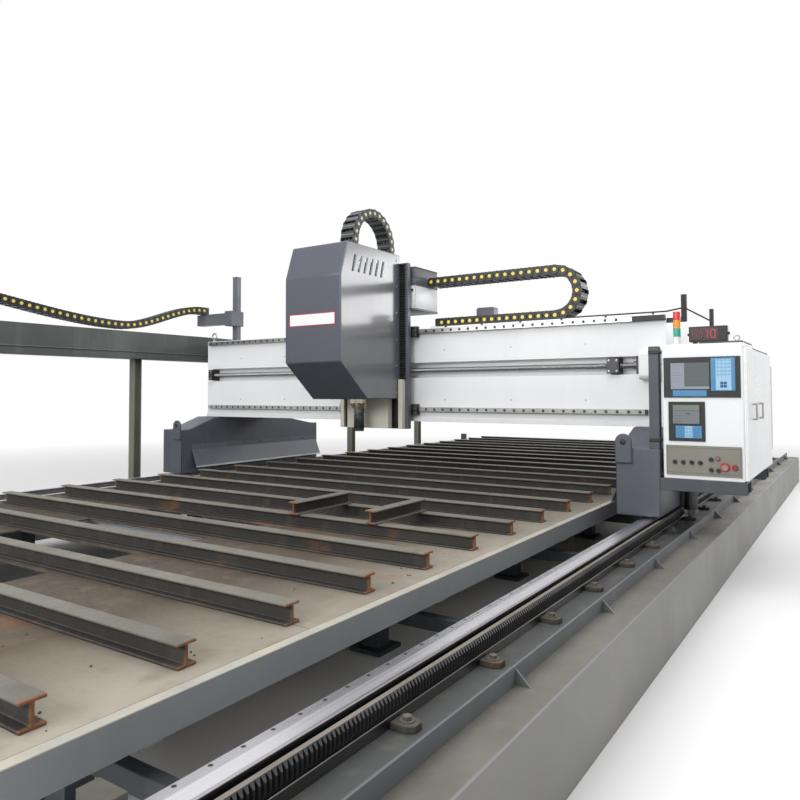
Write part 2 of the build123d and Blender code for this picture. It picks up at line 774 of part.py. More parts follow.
# Trucks, wheels and drives
def truck():
    seat_front = BEAM_FRONT - BEAM_SEAT_MARGIN
    seat_back = BEAM_BACK + BEAM_SEAT_MARGIN

    def side(wall, bottom):
        return [
            (TRUCK_FRONT + wall, bottom),
            (TRUCK_BACK - wall, bottom),
            (TRUCK_BACK - wall, TRUCK_END_TOP - wall),
            (TRUCK_BACK - TRUCK_END_FLAT, TRUCK_END_TOP - wall),
            (seat_back, BEAM_BOTTOM - wall),
            (seat_front, BEAM_BOTTOM - wall),
            (TRUCK_FRONT + TRUCK_END_FLAT, TRUCK_END_TOP - wall),
            (TRUCK_FRONT + wall, TRUCK_END_TOP - wall),
        ]

    body = along_x(side(0, TRUCK_BOTTOM), TRUCK_INNER, TRUCK_OUTER)
    return body - along_x(side(TRUCK_WALL, TRUCK_BOTTOM), TRUCK_INNER + TRUCK_WALL, TRUCK_OUTER - TRUCK_WALL)


def wheel(y):
    half = WHEEL_WIDTH / 2
    reach = TRUCK_WALL + SEAT
    tread = rod_x(y, WHEEL_Z, WHEEL_R - SEAT, RAIL_CENTRE - half, RAIL_CENTRE + half, WHEEL_COUNT)
    return tread + rod_x(y, WHEEL_Z, AXLE_R, TRUCK_INNER + reach, TRUCK_OUTER - reach, COARSE_COUNT)


def pinion():
    points = []
    for tooth in range(PINION_TEETH):
        for share, radius in ((0.0, PINION_R - TOOTH_DEPTH), (0.5, PINION_R)):
            angle = math.tau * (tooth + share) / PINION_TEETH
            points.append((PINION_X + radius * math.cos(angle), DRIVE_Y + radius * math.sin(angle)))
    gear = along_z(points, PINION_Z, PINION_Z + PINION_HEIGHT)
    return gear + rod_z(PINION_X, DRIVE_Y, PINION_SHAFT_R, PINION_Z + PINION_HEIGHT, DRIVE_Z - SEAT)


def drive_unit():
    top = DRIVE_Z + DRIVE_HEIGHT
    y0, y1 = DRIVE_Y - DRIVE_PLATE_HALF, DRIVE_Y + DRIVE_PLATE_HALF
    plate = block(TRUCK_OUTER, TRUCK_OUTER + DRIVE_PLATE, y0, y1, TRUCK_BOTTOM, top)
    return rod_z(PINION_X, DRIVE_Y, DRIVE_R, DRIVE_Z, top, PLAIN_COUNT) + plate


def chip_guard():
    inner = TRUCK_INNER
    outline = [
        (inner, GUARD_TOP),
        (inner - GUARD_SHEET, GUARD_TOP),
        (inner - GUARD_SHEET, GUARD_BEND),
        (inner - GUARD_REACH, GUARD_TIP + GUARD_SHEET),
        (inner - GUARD_REACH, GUARD_TIP),
        (inner - GUARD_REACH + GUARD_SHEET, GUARD_TIP),
        (inner, GUARD_BEND - GUARD_SHEET),
    ]
    return along_y(outline, TRUCK_FRONT + GUARD_FRONT_INSET, TRUCK_BACK - GUARD_BACK_INSET)


def lifting_ear():
    x = TRUCK_INNER + EAR_WIDTH / 2
    y0 = TRUCK_FRONT - EAR_THICK
    plate = block(x - EAR_WIDTH / 2, x + EAR_WIDTH / 2, y0, TRUCK_FRONT, EAR_BOTTOM, EAR_HOLE_Z)
    plate += rod_y(x, EAR_HOLE_Z, EAR_WIDTH / 2, y0, TRUCK_FRONT, PLAIN_COUNT)
    return plate - rod_y(x, EAR_HOLE_Z, EAR_HOLE_R, y0, TRUCK_FRONT, PLAIN_COUNT)


save("truck_right", truck() + lifting_ear())
save("truck_left", mirrored(truck() + lifting_ear()))
save("wheel_right_front", wheel(WHEEL_Y[0]))
save("wheel_right_rear", wheel(WHEEL_Y[1]))
save("wheel_left_front", mirrored(wheel(WHEEL_Y[0])))
save("wheel_left_rear", mirrored(wheel(WHEEL_Y[1])))
save("pinion_right", pinion())
save("pinion_left", mirrored(pinion()))
save("drive_units", drive_unit(), mirrored(drive_unit()))
save("chip_guards", chip_guard(), mirrored(chip_guard()))


# Cross beam with its ways and screw
def cross_beam():
    recess_low = SCREW_Z - RECESS_HEIGHT / 2
    recess_high = SCREW_Z + RECESS_HEIGHT / 2
    outline = [
        (BEAM_FRONT - BEAM_LIP, BEAM_BOTTOM),
        (BEAM_FRONT - BEAM_LIP, BEAM_BOTTOM + BEAM_LIP_HEIGHT),
        (BEAM_FRONT, BEAM_BOTTOM + BEAM_LIP_HEIGHT),
        (BEAM_FRONT, recess_low),
        (RECESS_BACK, recess_low),
        (RECESS_BACK, recess_high),
        (BEAM_FRONT, recess_high),
        (BEAM_FRONT, BEAM_TOP),
        (BEAM_BACK, BEAM_TOP),
        (BEAM_BACK, BEAM_BOTTOM),
    ]
    body = along_x(outline, -BEAM_HALF_LENGTH, BEAM_HALF_LENGTH)
    end = BEAM_HALF_LENGTH - BEAM_WALL
    y0, y1 = RECESS_BACK + BEAM_WALL, BEAM_BACK - BEAM_WALL
    return body - block(-end, end, y0, y1, BEAM_BOTTOM + BEAM_WALL, BEAM_TOP - BEAM_WALL)


def chain_tray():
    half = CROSS_WIDTH / 2 + CROSS_TRAY_SIDE
    x0, x1 = CROSS_FIXED_X - CROSS_TRAY_LEAD, BEAM_HALF_LENGTH - CROSS_TRAY_INSET
    y0, y1 = CROSS_Y - half, CROSS_Y + half
    lip = BEAM_TOP + CROSS_TRAY_LIP
    tray = block(x0, x1, y0, y1, BEAM_TOP, BEAM_TOP + CROSS_TRAY_FLOOR)
    for side in (y0, y1 - CROSS_TRAY_SHEET):
        tray += block(x0, x1, side, side + CROSS_TRAY_SHEET, BEAM_TOP, lip)
    return tray


def way_section(z, grow):
    half, waist = WAY_WIDTH / 2 + grow, WAY_WIDTH / 2 - WAY_WAIST + grow
    front = BEAM_FRONT - WAY_HEIGHT - grow
    return [
        (BEAM_FRONT, z - half),
        (front + WAY_FOOT, z - half),
        (front + WAY_WAIST_AT, z - waist),
        (front + WAY_HEAD, z - half),
        (front, z - half),
        (front, z + half),
        (front + WAY_HEAD, z + half),
        (front + WAY_WAIST_AT, z + waist),
        (front + WAY_FOOT, z + half),
        (BEAM_FRONT, z + half),
    ]


def bearing_block(x0, length):
    front = SCREW_Y - BLOCK_HALF
    body = block(x0, x0 + length, front, RECESS_BACK, SCREW_Z - BLOCK_HALF, SCREW_Z + BLOCK_HALF)
    return body - bore_x(SCREW_Y, SCREW_Z, SCREW_R + FIT, x0, x0 + length)


def cross_screw():
    coupling = MOTOR_PLATE_X - COUPLING_LENGTH - SEAT
    screw = rod_x(SCREW_Y, SCREW_Z, SCREW_R, BLOCK_LEFT_X, coupling)
    return screw + rod_x(SCREW_Y, SCREW_Z, COUPLING_R, coupling, coupling + COUPLING_LENGTH)


def motor_plate():
    wide, narrow = BLOCK_HALF + MOTOR_PLATE_FLARE, BLOCK_HALF / 2
    outline = [
        (RECESS_BACK, SCREW_Z - narrow),
        (SCREW_Y, SCREW_Z - BLOCK_HALF),
        (BEAM_FRONT - MOTOR_COVER_DEPTH, SCREW_Z - wide),
        (BEAM_FRONT - MOTOR_COVER_DEPTH, SCREW_Z + wide),
        (SCREW_Y, SCREW_Z + BLOCK_HALF),
        (RECESS_BACK, SCREW_Z + narrow),
    ]
    return along_x(outline, MOTOR_PLATE_X, MOTOR_PLATE_X + MOTOR_PLATE_THICK)


def motor_cover():
    x0 = MOTOR_PLATE_X + MOTOR_PLATE_THICK
    low, high = SCREW_Z - MOTOR_COVER_HALF, SCREW_Z + MOTOR_COVER_HALF
    cover = block(x0, x0 + MOTOR_COVER_LENGTH, BEAM_FRONT - MOTOR_COVER_DEPTH, BEAM_FRONT, low, high)
    return fillet(cover.faces().sort_by(Axis.Y)[0].edges().filter_by(Axis.X), MOTOR_COVER_ROUND)


def way_end_bars():
    half, front = WAY_WIDTH / 2, BEAM_FRONT - WAY_HEIGHT
    bar = block(WAY_RIGHT_END, BEAM_HALF_LENGTH, front, BEAM_FRONT, WAY_UPPER_Z - half, WAY_UPPER_Z + half)
    low, high = WAY_LOWER_Z - half, WAY_LOWER_Z + half
    return [bar, block(LOWER_WAY_END, LOWER_WAY_END + WAY_STOP, front, BEAM_FRONT, low, high)]


def eye_bolt(x, y, z, radius):
    thick, foot = radius * EYE_SHARE, z + radius * EYE_FOOT_SHARE
    half = thick / 2
    eye = rod_y(x, foot + radius, radius, y - half, y + half, PLAIN_COUNT)
    eye -= rod_y(x, foot + radius, radius - thick, y - half, y + half, COARSE_COUNT)
    return eye + rod_z(x, y, radius * EYE_COLLAR_SHARE, z, foot + half, COARSE_COUNT)


save("cross_beam", cross_beam(), chain_tray())
ways = [along_x(way_section(z, 0), WAY_LEFT_END, end) for z, end in WAY_ENDS]
save("beam_ways", *ways, *way_end_bars())
left_bearing = bearing_block(BLOCK_LEFT_X, BLOCK_LEFT_LENGTH)
right_bearing = bearing_block(BLOCK_RIGHT_X, BLOCK_RIGHT_LENGTH)
save("screw_supports", left_bearing, right_bearing, motor_plate())
save("cross_screw", cross_screw())
save("screw_motor_cover", motor_cover())
save(
    "eye_bolts",
    eye_bolt(BEAM_EYE_INSET - BEAM_HALF_LENGTH, BEAM_FRONT + BEAM_EYE_INSET, BEAM_TOP, BEAM_EYE_R),
    eye_bolt(CAB_RIGHT - CAB_EYE_INSET, CAB_FRONT + CAB_EYE_INSET, CAB_TOP, CAB_EYE_R),
)


# Fittings on the beam
def hose_post():
    half = POST_SIZE / 2
    post = block(POST_X - half, POST_X + half, POST_Y - half, POST_Y + half, BEAM_TOP, POST_TOP)
    rim = half + POST_CAP
    cap = block(POST_X - rim, POST_X + rim, POST_Y - rim, POST_Y + rim, POST_TOP, POST_TOP + POST_CAP)
    return post + cap


def hose_arm():
    half = POST_SIZE / 2 + COLLAR_WALL
    y0 = POST_Y - POST_SIZE / 2 - ARM_DEPTH
    arm = block(ARM_END, POST_X + half, y0, POST_Y - POST_SIZE / 2, ARM_TOP - ARM_HEIGHT, ARM_TOP)
    low, high = ARM_TOP - ARM_HEIGHT - COLLAR_RISE, ARM_TOP + COLLAR_RISE
    collar = block(POST_X - half, POST_X + half, y0, POST_Y + half, low, high)
    square = POST_SIZE / 2
    hole = block(POST_X - square, POST_X + square, POST_Y - square, POST_Y + square, BEAM_TOP, POST_TOP)
    return arm + collar - hole


def switch_box():
    x1, y = SWITCH_X + SWITCH_WIDTH, SWITCH_Y
    half = SWITCH_DEPTH / 2
    box = block(SWITCH_X, x1, y - half, y + half, BEAM_TOP, BEAM_TOP + SWITCH_HEIGHT)
    box = fillet(box.edges().filter_by(Axis.Y).group_by(Axis.Z)[-1], SWITCH_ROUND)
    z = BEAM_TOP + SWITCH_HEIGHT / 2
    arm = rod_x(y, z, SWITCH_ARM_R, x1, x1 + SWITCH_ARM, COARSE_COUNT)
    y0, y1 = y - SWITCH_ROLLER_HALF, y + SWITCH_ROLLER_HALF
    return box + arm + rod_y(x1 + SWITCH_ARM, z, 2 * SWITCH_ARM_R, y0, y1, COARSE_COUNT)


def swept_hose(points):
    route = Polyline(*points)
    section = Plane(route @ 0, z_dir=route % 0) * RegularPolygon(AIR_LINE_R, COARSE_COUNT)
    return sweep(section, route, transition=Transition.RIGHT)


def beam_riser():
    low = BEAM_TOP - BEAM_RISER_DROP
    y0, y1 = BEAM_RISER_Y - BEAM_RISER_ARM / 2, BEAM_RISER_Y + BEAM_RISER_ARM / 2
    arm = block(BEAM_HALF_LENGTH, BEAM_RISER_X, y0, y1, low, low + BEAM_RISER_ARM)
    top = BEAM_TOP + BEAM_RISER_RISE
    return arm + rod_z(BEAM_RISER_X, BEAM_RISER_Y, BEAM_RISER_R, low, top, COARSE_COUNT)


def hose_lines():
    z = BEAM_TOP + AIR_CLIP
    beam_end = BEAM_HALF_LENGTH - AIR_LEAD
    y0, y1 = AIR_LINE_Y - AIR_CLIP_HALF, AIR_LINE_Y + AIR_CLIP_HALF
    lines = rod_x(AIR_LINE_Y, z, AIR_LINE_R, AIR_LINE_X, beam_end, COARSE_COUNT)
    for x in steps(AIR_LINE_X + AIR_LEAD, beam_end, AIR_CLIP_PITCH):
        lines += block(x - AIR_CLIP_HALF, x + AIR_CLIP_HALF, y0, y1, BEAM_TOP, z)
    lines += beam_riser()
    lines += rod_z(RISER_X, RISER_Y, RISER_R, CAB_TOP, CAB_TOP + RISER_HEIGHT, COARSE_COUNT)
    lines += swept_hose([
        (beam_end - AIR_LAP, AIR_LINE_Y, z),
        (BEAM_HALF_LENGTH, AIR_LINE_Y, z),
        (BEAM_RISER_X, BEAM_RISER_Y, BEAM_TOP + AIR_RISE),
        (RISER_X, RISER_Y, CAB_TOP + AIR_END_RISE),
    ])
    return lines


def corner_post():
    x0, x1 = TRUCK_OUTER - CORNER_POST_SIZE, TRUCK_OUTER
    y0 = TRUCK_FRONT + CORNER_POST_INSET
    y1 = y0 + CORNER_POST_SIZE
    post = block(x0, x1, y0, y1, TRUCK_END_TOP, CORNER_POST_TOP)
    for z in (TRUCK_END_TOP + CORNER_CLAMP_INSET, CORNER_POST_TOP - CORNER_CLAMP_INSET):
        post += block(x0, x1 + CORNER_CLAMP, y0 - CORNER_CLAMP, y1, z, z + CORNER_CLAMP_HEIGHT)
    return post


save("hose_post", hose_post(), hose_arm())
save("switch_box", switch_box())
save("corner_post", corner_post())


# Control cabinet
def cabinet():
    outline = [
        (CAB_FRONT, CAB_BOTTOM),
        (CAB_BACK, CAB_BOTTOM),
        (CAB_BACK, CAB_TOP - CAB_ROOF_STEP),
        (DOOR_SPLIT + 2 * CAB_ROOF_STEP, CAB_TOP - CAB_ROOF_STEP),
        (DOOR_SPLIT, CAB_TOP),
        (CAB_FRONT, CAB_TOP),
    ]
    body = along_x(outline, CAB_LEFT, CAB_RIGHT)
    body -= block(
        CAB_LEFT + CAB_SHEET, CAB_RIGHT - CAB_SHEET, CAB_FRONT + CAB_SHEET, CAB_BACK - CAB_SHEET,
        CAB_BOTTOM + CAB_SHEET, CAB_TOP - CAB_ROOF_STEP - CAB_SHEET,
    )
    doorway = block(
        CAB_RIGHT - CAB_SHEET, CAB_RIGHT, CAB_FRONT + CAB_RIM, CAB_BACK - CAB_RIM,
        CAB_BOTTOM + CAB_RIM, CAB_TOP - CAB_ROOF_STEP - CAB_RIM,
    )
    return body - doorway


def stand_arm(y0):
    x1 = CAB_RIGHT + STAND_OVERHANG
    wall = STAND_SHEET
    arm = block(TRUCK_OUTER, x1, y0, y0 + STAND_DEPTH, STAND_BOTTOM, CAB_BOTTOM)
    return arm - block(
        TRUCK_OUTER, x1, y0 + wall, y0 + STAND_DEPTH - wall, STAND_BOTTOM + wall, CAB_BOTTOM - wall
    )


def door(y0, y1, pull_y):
    x1 = CAB_RIGHT + DOOR_THICK
    leaf = block(CAB_RIGHT + SEAT, x1, y0, y1, CAB_BOTTOM + DOOR_EDGE, CAB_TOP - CAB_ROOF_STEP - DOOR_EDGE)
    low, high = PULL_Z - PULL_HEIGHT / 2, PULL_Z + PULL_HEIGHT / 2
    pull_0, pull_1 = pull_y - PULL_BAR / 2, pull_y + PULL_BAR / 2
    for z in (low, high - PULL_BAR):
        leaf += block(x1, x1 + PULL_REACH, pull_0, pull_1, z, z + PULL_BAR)
    leaf += block(x1 + PULL_REACH - PULL_GRIP, x1 + PULL_REACH, pull_0, pull_1, low, high)
    hinge_y = y0 if pull_y > (y0 + y1) / 2 else y1
    return leaf + rod_z(x1, hinge_y, HINGE_R, CAB_BOTTOM + HINGE_INSET, CAB_TOP - HINGE_INSET)


def panel(box):
    x0, x1, z0, z1 = box
    return block(CAB_LEFT + x0, CAB_LEFT + x1, PANEL_FACE, CAB_FRONT, CAB_BOTTOM + z0, CAB_BOTTOM + z1)


def control(x, z, radius, length):
    x, z = CAB_LEFT + x, CAB_BOTTOM + z
    stem_back = PANEL_FACE - STEM_LENGTH
    stem = square_stem(x, z, STEM_HALF, stem_back, CAB_FRONT - BUTTON_TRAVEL - STEM_SPARE)
    return stem + rod_y(x, z, radius, stem_back - length, stem_back, PLAIN_COUNT)


def square_stem(x, z, half, y0, y1):
    return block(x - half, x + half, y0, y1, z - half, z + half)


def strip_panel():
    plate = panel(STRIP_PANEL)
    for x, z in BUTTON_PLACES + [(STOP_BUTTON_X, RED_BUTTON_Z), (RED_BUTTON_X, RED_BUTTON_Z)]:
        plate -= square_stem(CAB_LEFT + x, CAB_BOTTOM + z, STEM_HALF + SEAT, PANEL_FACE, CAB_FRONT)
    x, z = CAB_LEFT + LAMP_PLACE[0], CAB_BOTTOM + LAMP_PLACE[1]
    return plate + rod_y(x, z, KNOB_R, PANEL_FACE - KNOB_LENGTH, PANEL_FACE, PLAIN_COUNT)


def selector(index):
    x = CAB_LEFT + KNOB_FIRST_X + index * KNOB_SPACING
    z = CAB_BOTTOM + KNOB_ROW_Z
    back = PANEL_FACE - SEAT
    grip = block(x - GRIP_HALF, x + GRIP_HALF, back - KNOB_LENGTH, back, z - KNOB_R, z + KNOB_R)
    return grip + rod_y(x, z, KNOB_R, back - KNOB_LENGTH * FLAT_KNOB_SHARE, back, PLAIN_COUNT)


def drive_rack():
    x0 = CAB_LEFT + CAB_SHEET
    x1 = x0 + RACK_SHEET
    low, high = CAB_BOTTOM + RACK_MARGIN, CAB_TOP - RACK_MARGIN
    modules = block(x0, x1, CAB_FRONT + RACK_MARGIN, CAB_BACK - RACK_MARGIN, low, high)
    half = MODULE_WIDTH / 2
    for y in steps(CAB_FRONT + 2 * RACK_MARGIN, CAB_BACK - 2 * RACK_MARGIN, MODULE_PITCH):
        modules += block(x1, x1 + MODULE_DEPTH, y - half, y + half, high - MODULE_HEIGHT, high)
    return modules


def meter():
    x0 = CAB_LEFT + METER_LEFT
    x1 = x0 + METER_WIDTH
    z0 = CAB_TOP + METER_FOOT
    front = CAB_FRONT + METER_SETBACK
    back = front + METER_DEPTH
    case = block(x0, x1, front, back, z0, z0 + METER_HEIGHT)
    for x in (x0 + METER_FOOT_INSET, x1 - METER_FOOT_INSET):
        case += block(x - METER_FOOT_HALF, x + METER_FOOT_HALF, front + METER_FOOT_STEP, back, CAB_TOP, z0)
    y, z, reach = (front + back) / 2, z0 + METER_HEIGHT / 2, METER_KNOB_REACH
    for x in (x0, x1):
        case += rod_x(y, z, METER_KNOB_R, x - reach, x + reach, COARSE_COUNT)
    return case


def tower_light():
    return rod_z(LIGHT_X, LIGHT_Y, LIGHT_R, CAB_TOP, CAB_TOP + LIGHT_BASE, PLAIN_COUNT)


def tower_lens(index):
    z0 = CAB_TOP + LIGHT_BASE + index * LIGHT_LENS
    return rod_z(LIGHT_X, LIGHT_Y, LIGHT_R - LENS_STEP, z0, z0 + LIGHT_LENS, PLAIN_COUNT)


save("cabinet", cabinet())
save("cabinet_stand", *[stand_arm(y) for y in STAND_Y])
save("cabinet_drives", drive_rack())
save("cabinet_door_front", door(CAB_FRONT + DOOR_EDGE, DOOR_SPLIT - DOOR_GAP / 2, DOOR_SPLIT - PULL_INSET))
save("cabinet_door_rear", door(DOOR_SPLIT + DOOR_GAP / 2, CAB_BACK - DOOR_EDGE, DOOR_SPLIT + PULL_INSET))
save("operator_panels", panel(UPPER_PANEL), panel(LOWER_PANEL), strip_panel())
for index in range(KNOB_COUNT):
    save(f"selector_{index + 1}", selector(index))
for index, (x, z) in enumerate(BUTTON_PLACES):
    save(f"push_button_{index + 1}", control(x, z, KNOB_R, KNOB_LENGTH * FLAT_KNOB_SHARE))
save("emergency_stop", control(STOP_BUTTON_X, RED_BUTTON_Z, STOP_BUTTON_R, KNOB_LENGTH))
save("red_button", control(RED_BUTTON_X, RED_BUTTON_Z, RED_BUTTON_R, KNOB_LENGTH * FLAT_KNOB_SHARE))
save("current_meter", meter())
save("tower_light", tower_light(), *[tower_lens(index) for index in range(LIGHT_COUNT)])
save("hose_lines", hose_lines())


# Carriage
def carriage_plate():
    return block(PLATE_LEFT, PLATE_RIGHT, PLATE_FRONT, PLATE_BACK, PLATE_BOTTOM, PLATE_TOP)


def carriage_blocks():
    pieces = []
    for z in (WAY_LOWER_Z, WAY_UPPER_Z):
        x0, x1 = PLATE_LEFT - GROOVE_OVERRUN, PLATE_RIGHT + GROOVE_OVERRUN
        groove = along_x(way_section(z, WAY_CLEARANCE), x0, x1)
        for x in (PLATE_LEFT + BLOCK_INSET, PLATE_RIGHT - BLOCK_INSET):
            body = block(
                x - BLOCK_LENGTH / 2, x + BLOCK_LENGTH / 2, PLATE_BACK, PLATE_BACK + BLOCK_DEPTH,
                z - BLOCK_HEIGHT / 2, z + BLOCK_HEIGHT / 2,
            )
            pieces.append(body - groove)
    return pieces


def screw_nut():
    body = block(
        HEAD_X - NUT_LENGTH / 2, HEAD_X + NUT_LENGTH / 2, PLATE_BACK, SCREW_Y + NUT_HALF,
        SCREW_Z - NUT_HALF, SCREW_Z + NUT_HALF,
    )
    return body - bore_x(SCREW_Y, SCREW_Z, SCREW_R + FIT, HEAD_X - NUT_LENGTH, HEAD_X + NUT_LENGTH)


def vertical_way(side):
    x = HEAD_X + side * Z_WAY_OFFSET
    front = PLATE_FRONT - Z_WAY_HEIGHT
    return block(x - Z_WAY_WIDTH / 2, x + Z_WAY_WIDTH / 2, front, PLATE_FRONT, Z_WAY_BOTTOM, Z_WAY_TOP)


def way_cover(side):
    x = HEAD_X + side * COVER_OFFSET
    front = PLATE_FRONT - COVER_DEPTH
    return block(x - COVER_WIDTH / 2, x + COVER_WIDTH / 2, front, PLATE_FRONT, SLIDE_BOTTOM, COVER_TOP)


def chain_shelf():
    x0 = HEAD_X - HEAD_CHAIN_WIDTH / 2 - SHELF_LEAD
    return block(x0, BOX_RIGHT, PLATE_BACK, SHELF_BACK, SHELF_BOTTOM, SHELF_TOP)


def junction_box():
    return block(BOX_LEFT, BOX_RIGHT, BOX_FRONT, SHELF_BACK, SHELF_TOP, SHELF_TOP + BOX_HEIGHT)


def vertical_bearing(z):
    body = block(
        HEAD_X - Z_BEARING_HALF, HEAD_X + Z_BEARING_HALF, PLATE_FRONT - Z_BEARING_DEPTH, PLATE_FRONT,
        z, z + Z_BEARING_LENGTH,
    )
    return body - bore_z(HEAD_X, Z_SCREW_Y, Z_SCREW_R + FIT, z, z + Z_BEARING_LENGTH)


def vertical_screw():
    return rod_z(HEAD_X, Z_SCREW_Y, Z_SCREW_R, Z_SCREW_BOTTOM, Z_SCREW_TOP)


def vertical_motor():
    z0 = Z_SCREW_TOP + SEAT
    half = Z_MOTOR_HALF
    return block(HEAD_X - half, HEAD_X + half, PLATE_FRONT - 2 * half, PLATE_FRONT, z0, z0 + Z_MOTOR_HEIGHT)


save("carriage_plate", carriage_plate())
save("carriage_blocks", *carriage_blocks(), screw_nut())
bearings = [vertical_bearing(Z_SCREW_BOTTOM), vertical_bearing(Z_SCREW_TOP - Z_BEARING_LENGTH)]
guides = [vertical_way(-1), vertical_way(1), way_cover(-1), way_cover(1)]
save("head_guides", *guides, *bearings, vertical_motor())
save("chain_shelf", chain_shelf(), junction_box())
save("vertical_screw", vertical_screw())


# Head
def head_slide():
    x0, x1 = HEAD_X - SLIDE_HALF_WIDTH, HEAD_X + SLIDE_HALF_WIDTH
    slide = block(x0, x1, SLIDE_FRONT, SLIDE_BACK, SLIDE_BOTTOM, SLIDE_TOP)
    gap = Z_WAY_WIDTH / 2 + WAY_CLEARANCE
    back = SLIDE_BACK + Z_BLOCK_DEPTH
    for z in (SLIDE_BOTTOM + Z_BLOCK_LOW, SLIDE_TOP - Z_BLOCK_HIGH):
        for side in (-1, 1):
            x = HEAD_X + side * Z_WAY_OFFSET
            pad = block(x - Z_BLOCK_WIDTH / 2, x + Z_BLOCK_WIDTH / 2, SLIDE_BACK, back, z, z + Z_BLOCK_LENGTH)
            slide += pad - block(x - gap, x + gap, SLIDE_BACK, back, z, z + Z_BLOCK_LENGTH)
    nut_z = (SLIDE_BOTTOM + SLIDE_TOP) / 2
    nut = block(
        HEAD_X - Z_BEARING_HALF, HEAD_X + Z_BEARING_HALF, SLIDE_BACK, SLIDE_BACK + Z_BEARING_DEPTH,
        nut_z, nut_z + 2 * Z_BEARING_LENGTH,
    )
    return slide + nut - bore_z(HEAD_X, Z_SCREW_Y, Z_SCREW_R + FIT, nut_z, nut_z + 2 * Z_BEARING_LENGTH)


def headstock():
    x0, x1 = HEAD_X - HEADSTOCK_HALF, HEAD_X + HEADSTOCK_HALF
    body = block(x0, x1, HEADSTOCK_FRONT, SLIDE_FRONT, HEADSTOCK_BOTTOM, HEADSTOCK_TOP)
    bore_top = HEADSTOCK_BOTTOM + JOURNAL_LENGTH + JOURNAL_SPARE
    return body - bore_z(HEAD_X, SPINDLE_Y, SPINDLE_R + FIT, HEADSTOCK_BOTTOM, bore_top)


def spindle_motor():
    body = rod_z(HEAD_X, SPINDLE_Y, MOTOR_R, HEADSTOCK_TOP, MOTOR_TOP, FINE_COUNT)
    y = HEAD_CHAIN_Y - HEAD_CHAIN_R
    foot = HEAD_CHAIN_WIDTH / 2
    plate = block(
        HEAD_X - foot, HEAD_X + foot, y - LINK_HEIGHT / 2, SPINDLE_Y, MOTOR_TOP, MOTOR_TOP + CAP_THICK
    )
    return body + plate


def hood():
    def side(sheet):
        return [
            (HOOD_BACK, HOOD_BOTTOM + sheet),
            (HOOD_LOW_FRONT + sheet / 2, HOOD_BOTTOM + sheet),
            (HOOD_FRONT + sheet, HOOD_LOWER_CREASE + sheet / 2),
            (HOOD_FRONT + sheet, HOOD_UPPER_CREASE),
            (HOOD_ROOF_FRONT + sheet, HOOD_TOP - sheet),
            (HOOD_BACK, HOOD_TOP - sheet),
        ]

    left, right = HEAD_X - HOOD_HALF_WIDTH, HEAD_X + HOOD_HALF_WIDTH
    shell = along_x(side(0), left, right)
    shell -= along_x(side(HOOD_SHEET), left + HOOD_SHEET, right - HOOD_SHEET)
    shell -= block(
        HEAD_X - HOOD_NOTCH_HALF, HEAD_X + HOOD_NOTCH_HALF, HOOD_NOTCH_FRONT, HOOD_BACK,
        HOOD_TOP - HOOD_SHEET, HOOD_TOP,
    )
    clear = SLIDE_HALF_WIDTH + HOOD_CLEAR
    floor = HOOD_BOTTOM + HOOD_SHEET
    shell -= block(HEAD_X - clear, HEAD_X + clear, SLIDE_FRONT - HOOD_CLEAR, HOOD_BACK, HOOD_BOTTOM, floor)
    shell -= rod_z(HEAD_X, SPINDLE_Y, HOOD_NOSE_R, HOOD_BOTTOM, floor, FINE_COUNT)
    for index in range(LOUVRE_COUNT):
        y = LOUVRE_FIRST_Y + index * LOUVRE_PITCH
        slit = [
            (y, LOUVRE_TOP - LOUVRE_HEIGHT),
            (y + LOUVRE_WIDTH, LOUVRE_TOP - LOUVRE_HEIGHT),
            (y + LOUVRE_WIDTH + LOUVRE_SLANT, LOUVRE_TOP),
            (y + LOUVRE_SLANT, LOUVRE_TOP),
        ]
        shell -= along_x(slit, right - HOOD_SHEET, right)
    return shell


def hood_brackets():
    pieces = []
    inner = HOOD_HALF_WIDTH - HOOD_SHEET
    for z in (HOOD_LOWER_CREASE, SLIDE_TOP - HOOD_ARM):
        for side in (-1, 1):
            x0, x1 = HEAD_X + side * SLIDE_HALF_WIDTH, HEAD_X + side * inner
            pieces.append(block(x0, x1, SLIDE_FRONT, SLIDE_BACK, z, z + HOOD_ARM))
    return pieces


def spindle():
    axis = Pos(HEAD_X, SPINDLE_Y, 0)
    small = Plane.XY.offset(NOSE_BOTTOM) * RegularPolygon(NOSE_R - NOSE_CONE, FINE_COUNT)
    large = Plane.XY.offset((NOSE_BOTTOM + NOSE_TOP) / 2) * RegularPolygon(NOSE_R, FINE_COUNT)
    nose = axis * loft([small, large], ruled=True)
    nose += rod_z(HEAD_X, SPINDLE_Y, NOSE_R, (NOSE_BOTTOM + NOSE_TOP) / 2, NOSE_TOP, FINE_COUNT)
    nose += rod_z(HEAD_X, SPINDLE_Y, SPINDLE_R, NOSE_TOP, HEADSTOCK_BOTTOM + JOURNAL_LENGTH)
    return nose + rod_z(HEAD_X, SPINDLE_Y, TOOL_R, TOOL_TIP, NOSE_BOTTOM, FINE_COUNT)


save("head_slide", head_slide(), *hood_brackets())
save("headstock", headstock(), spindle_motor())
save("hood", hood())
save("spindle", spindle())


# Cable chains: each link has two tongued side plates and a cross bar, and every second link
# sits inside its neighbours
def link(pitch, width, inside):
    a, b = pitch / 2 + LINK_TONGUE, LINK_HEIGHT / 2
    outer = width / 2 - (LINK_PLATE + LINK_GAP if inside else 0)
    pair = block(-a, a, outer - LINK_PLATE, outer, -b, b) + block(-a, a, -outer, LINK_PLATE - outer, -b, b)
    if inside:
        return pair
    reach = outer - LINK_PLATE / 2
    return pair + block(-LINK_BAR_HALF, LINK_BAR_HALF, -reach, reach, b - LINK_BAR, b)


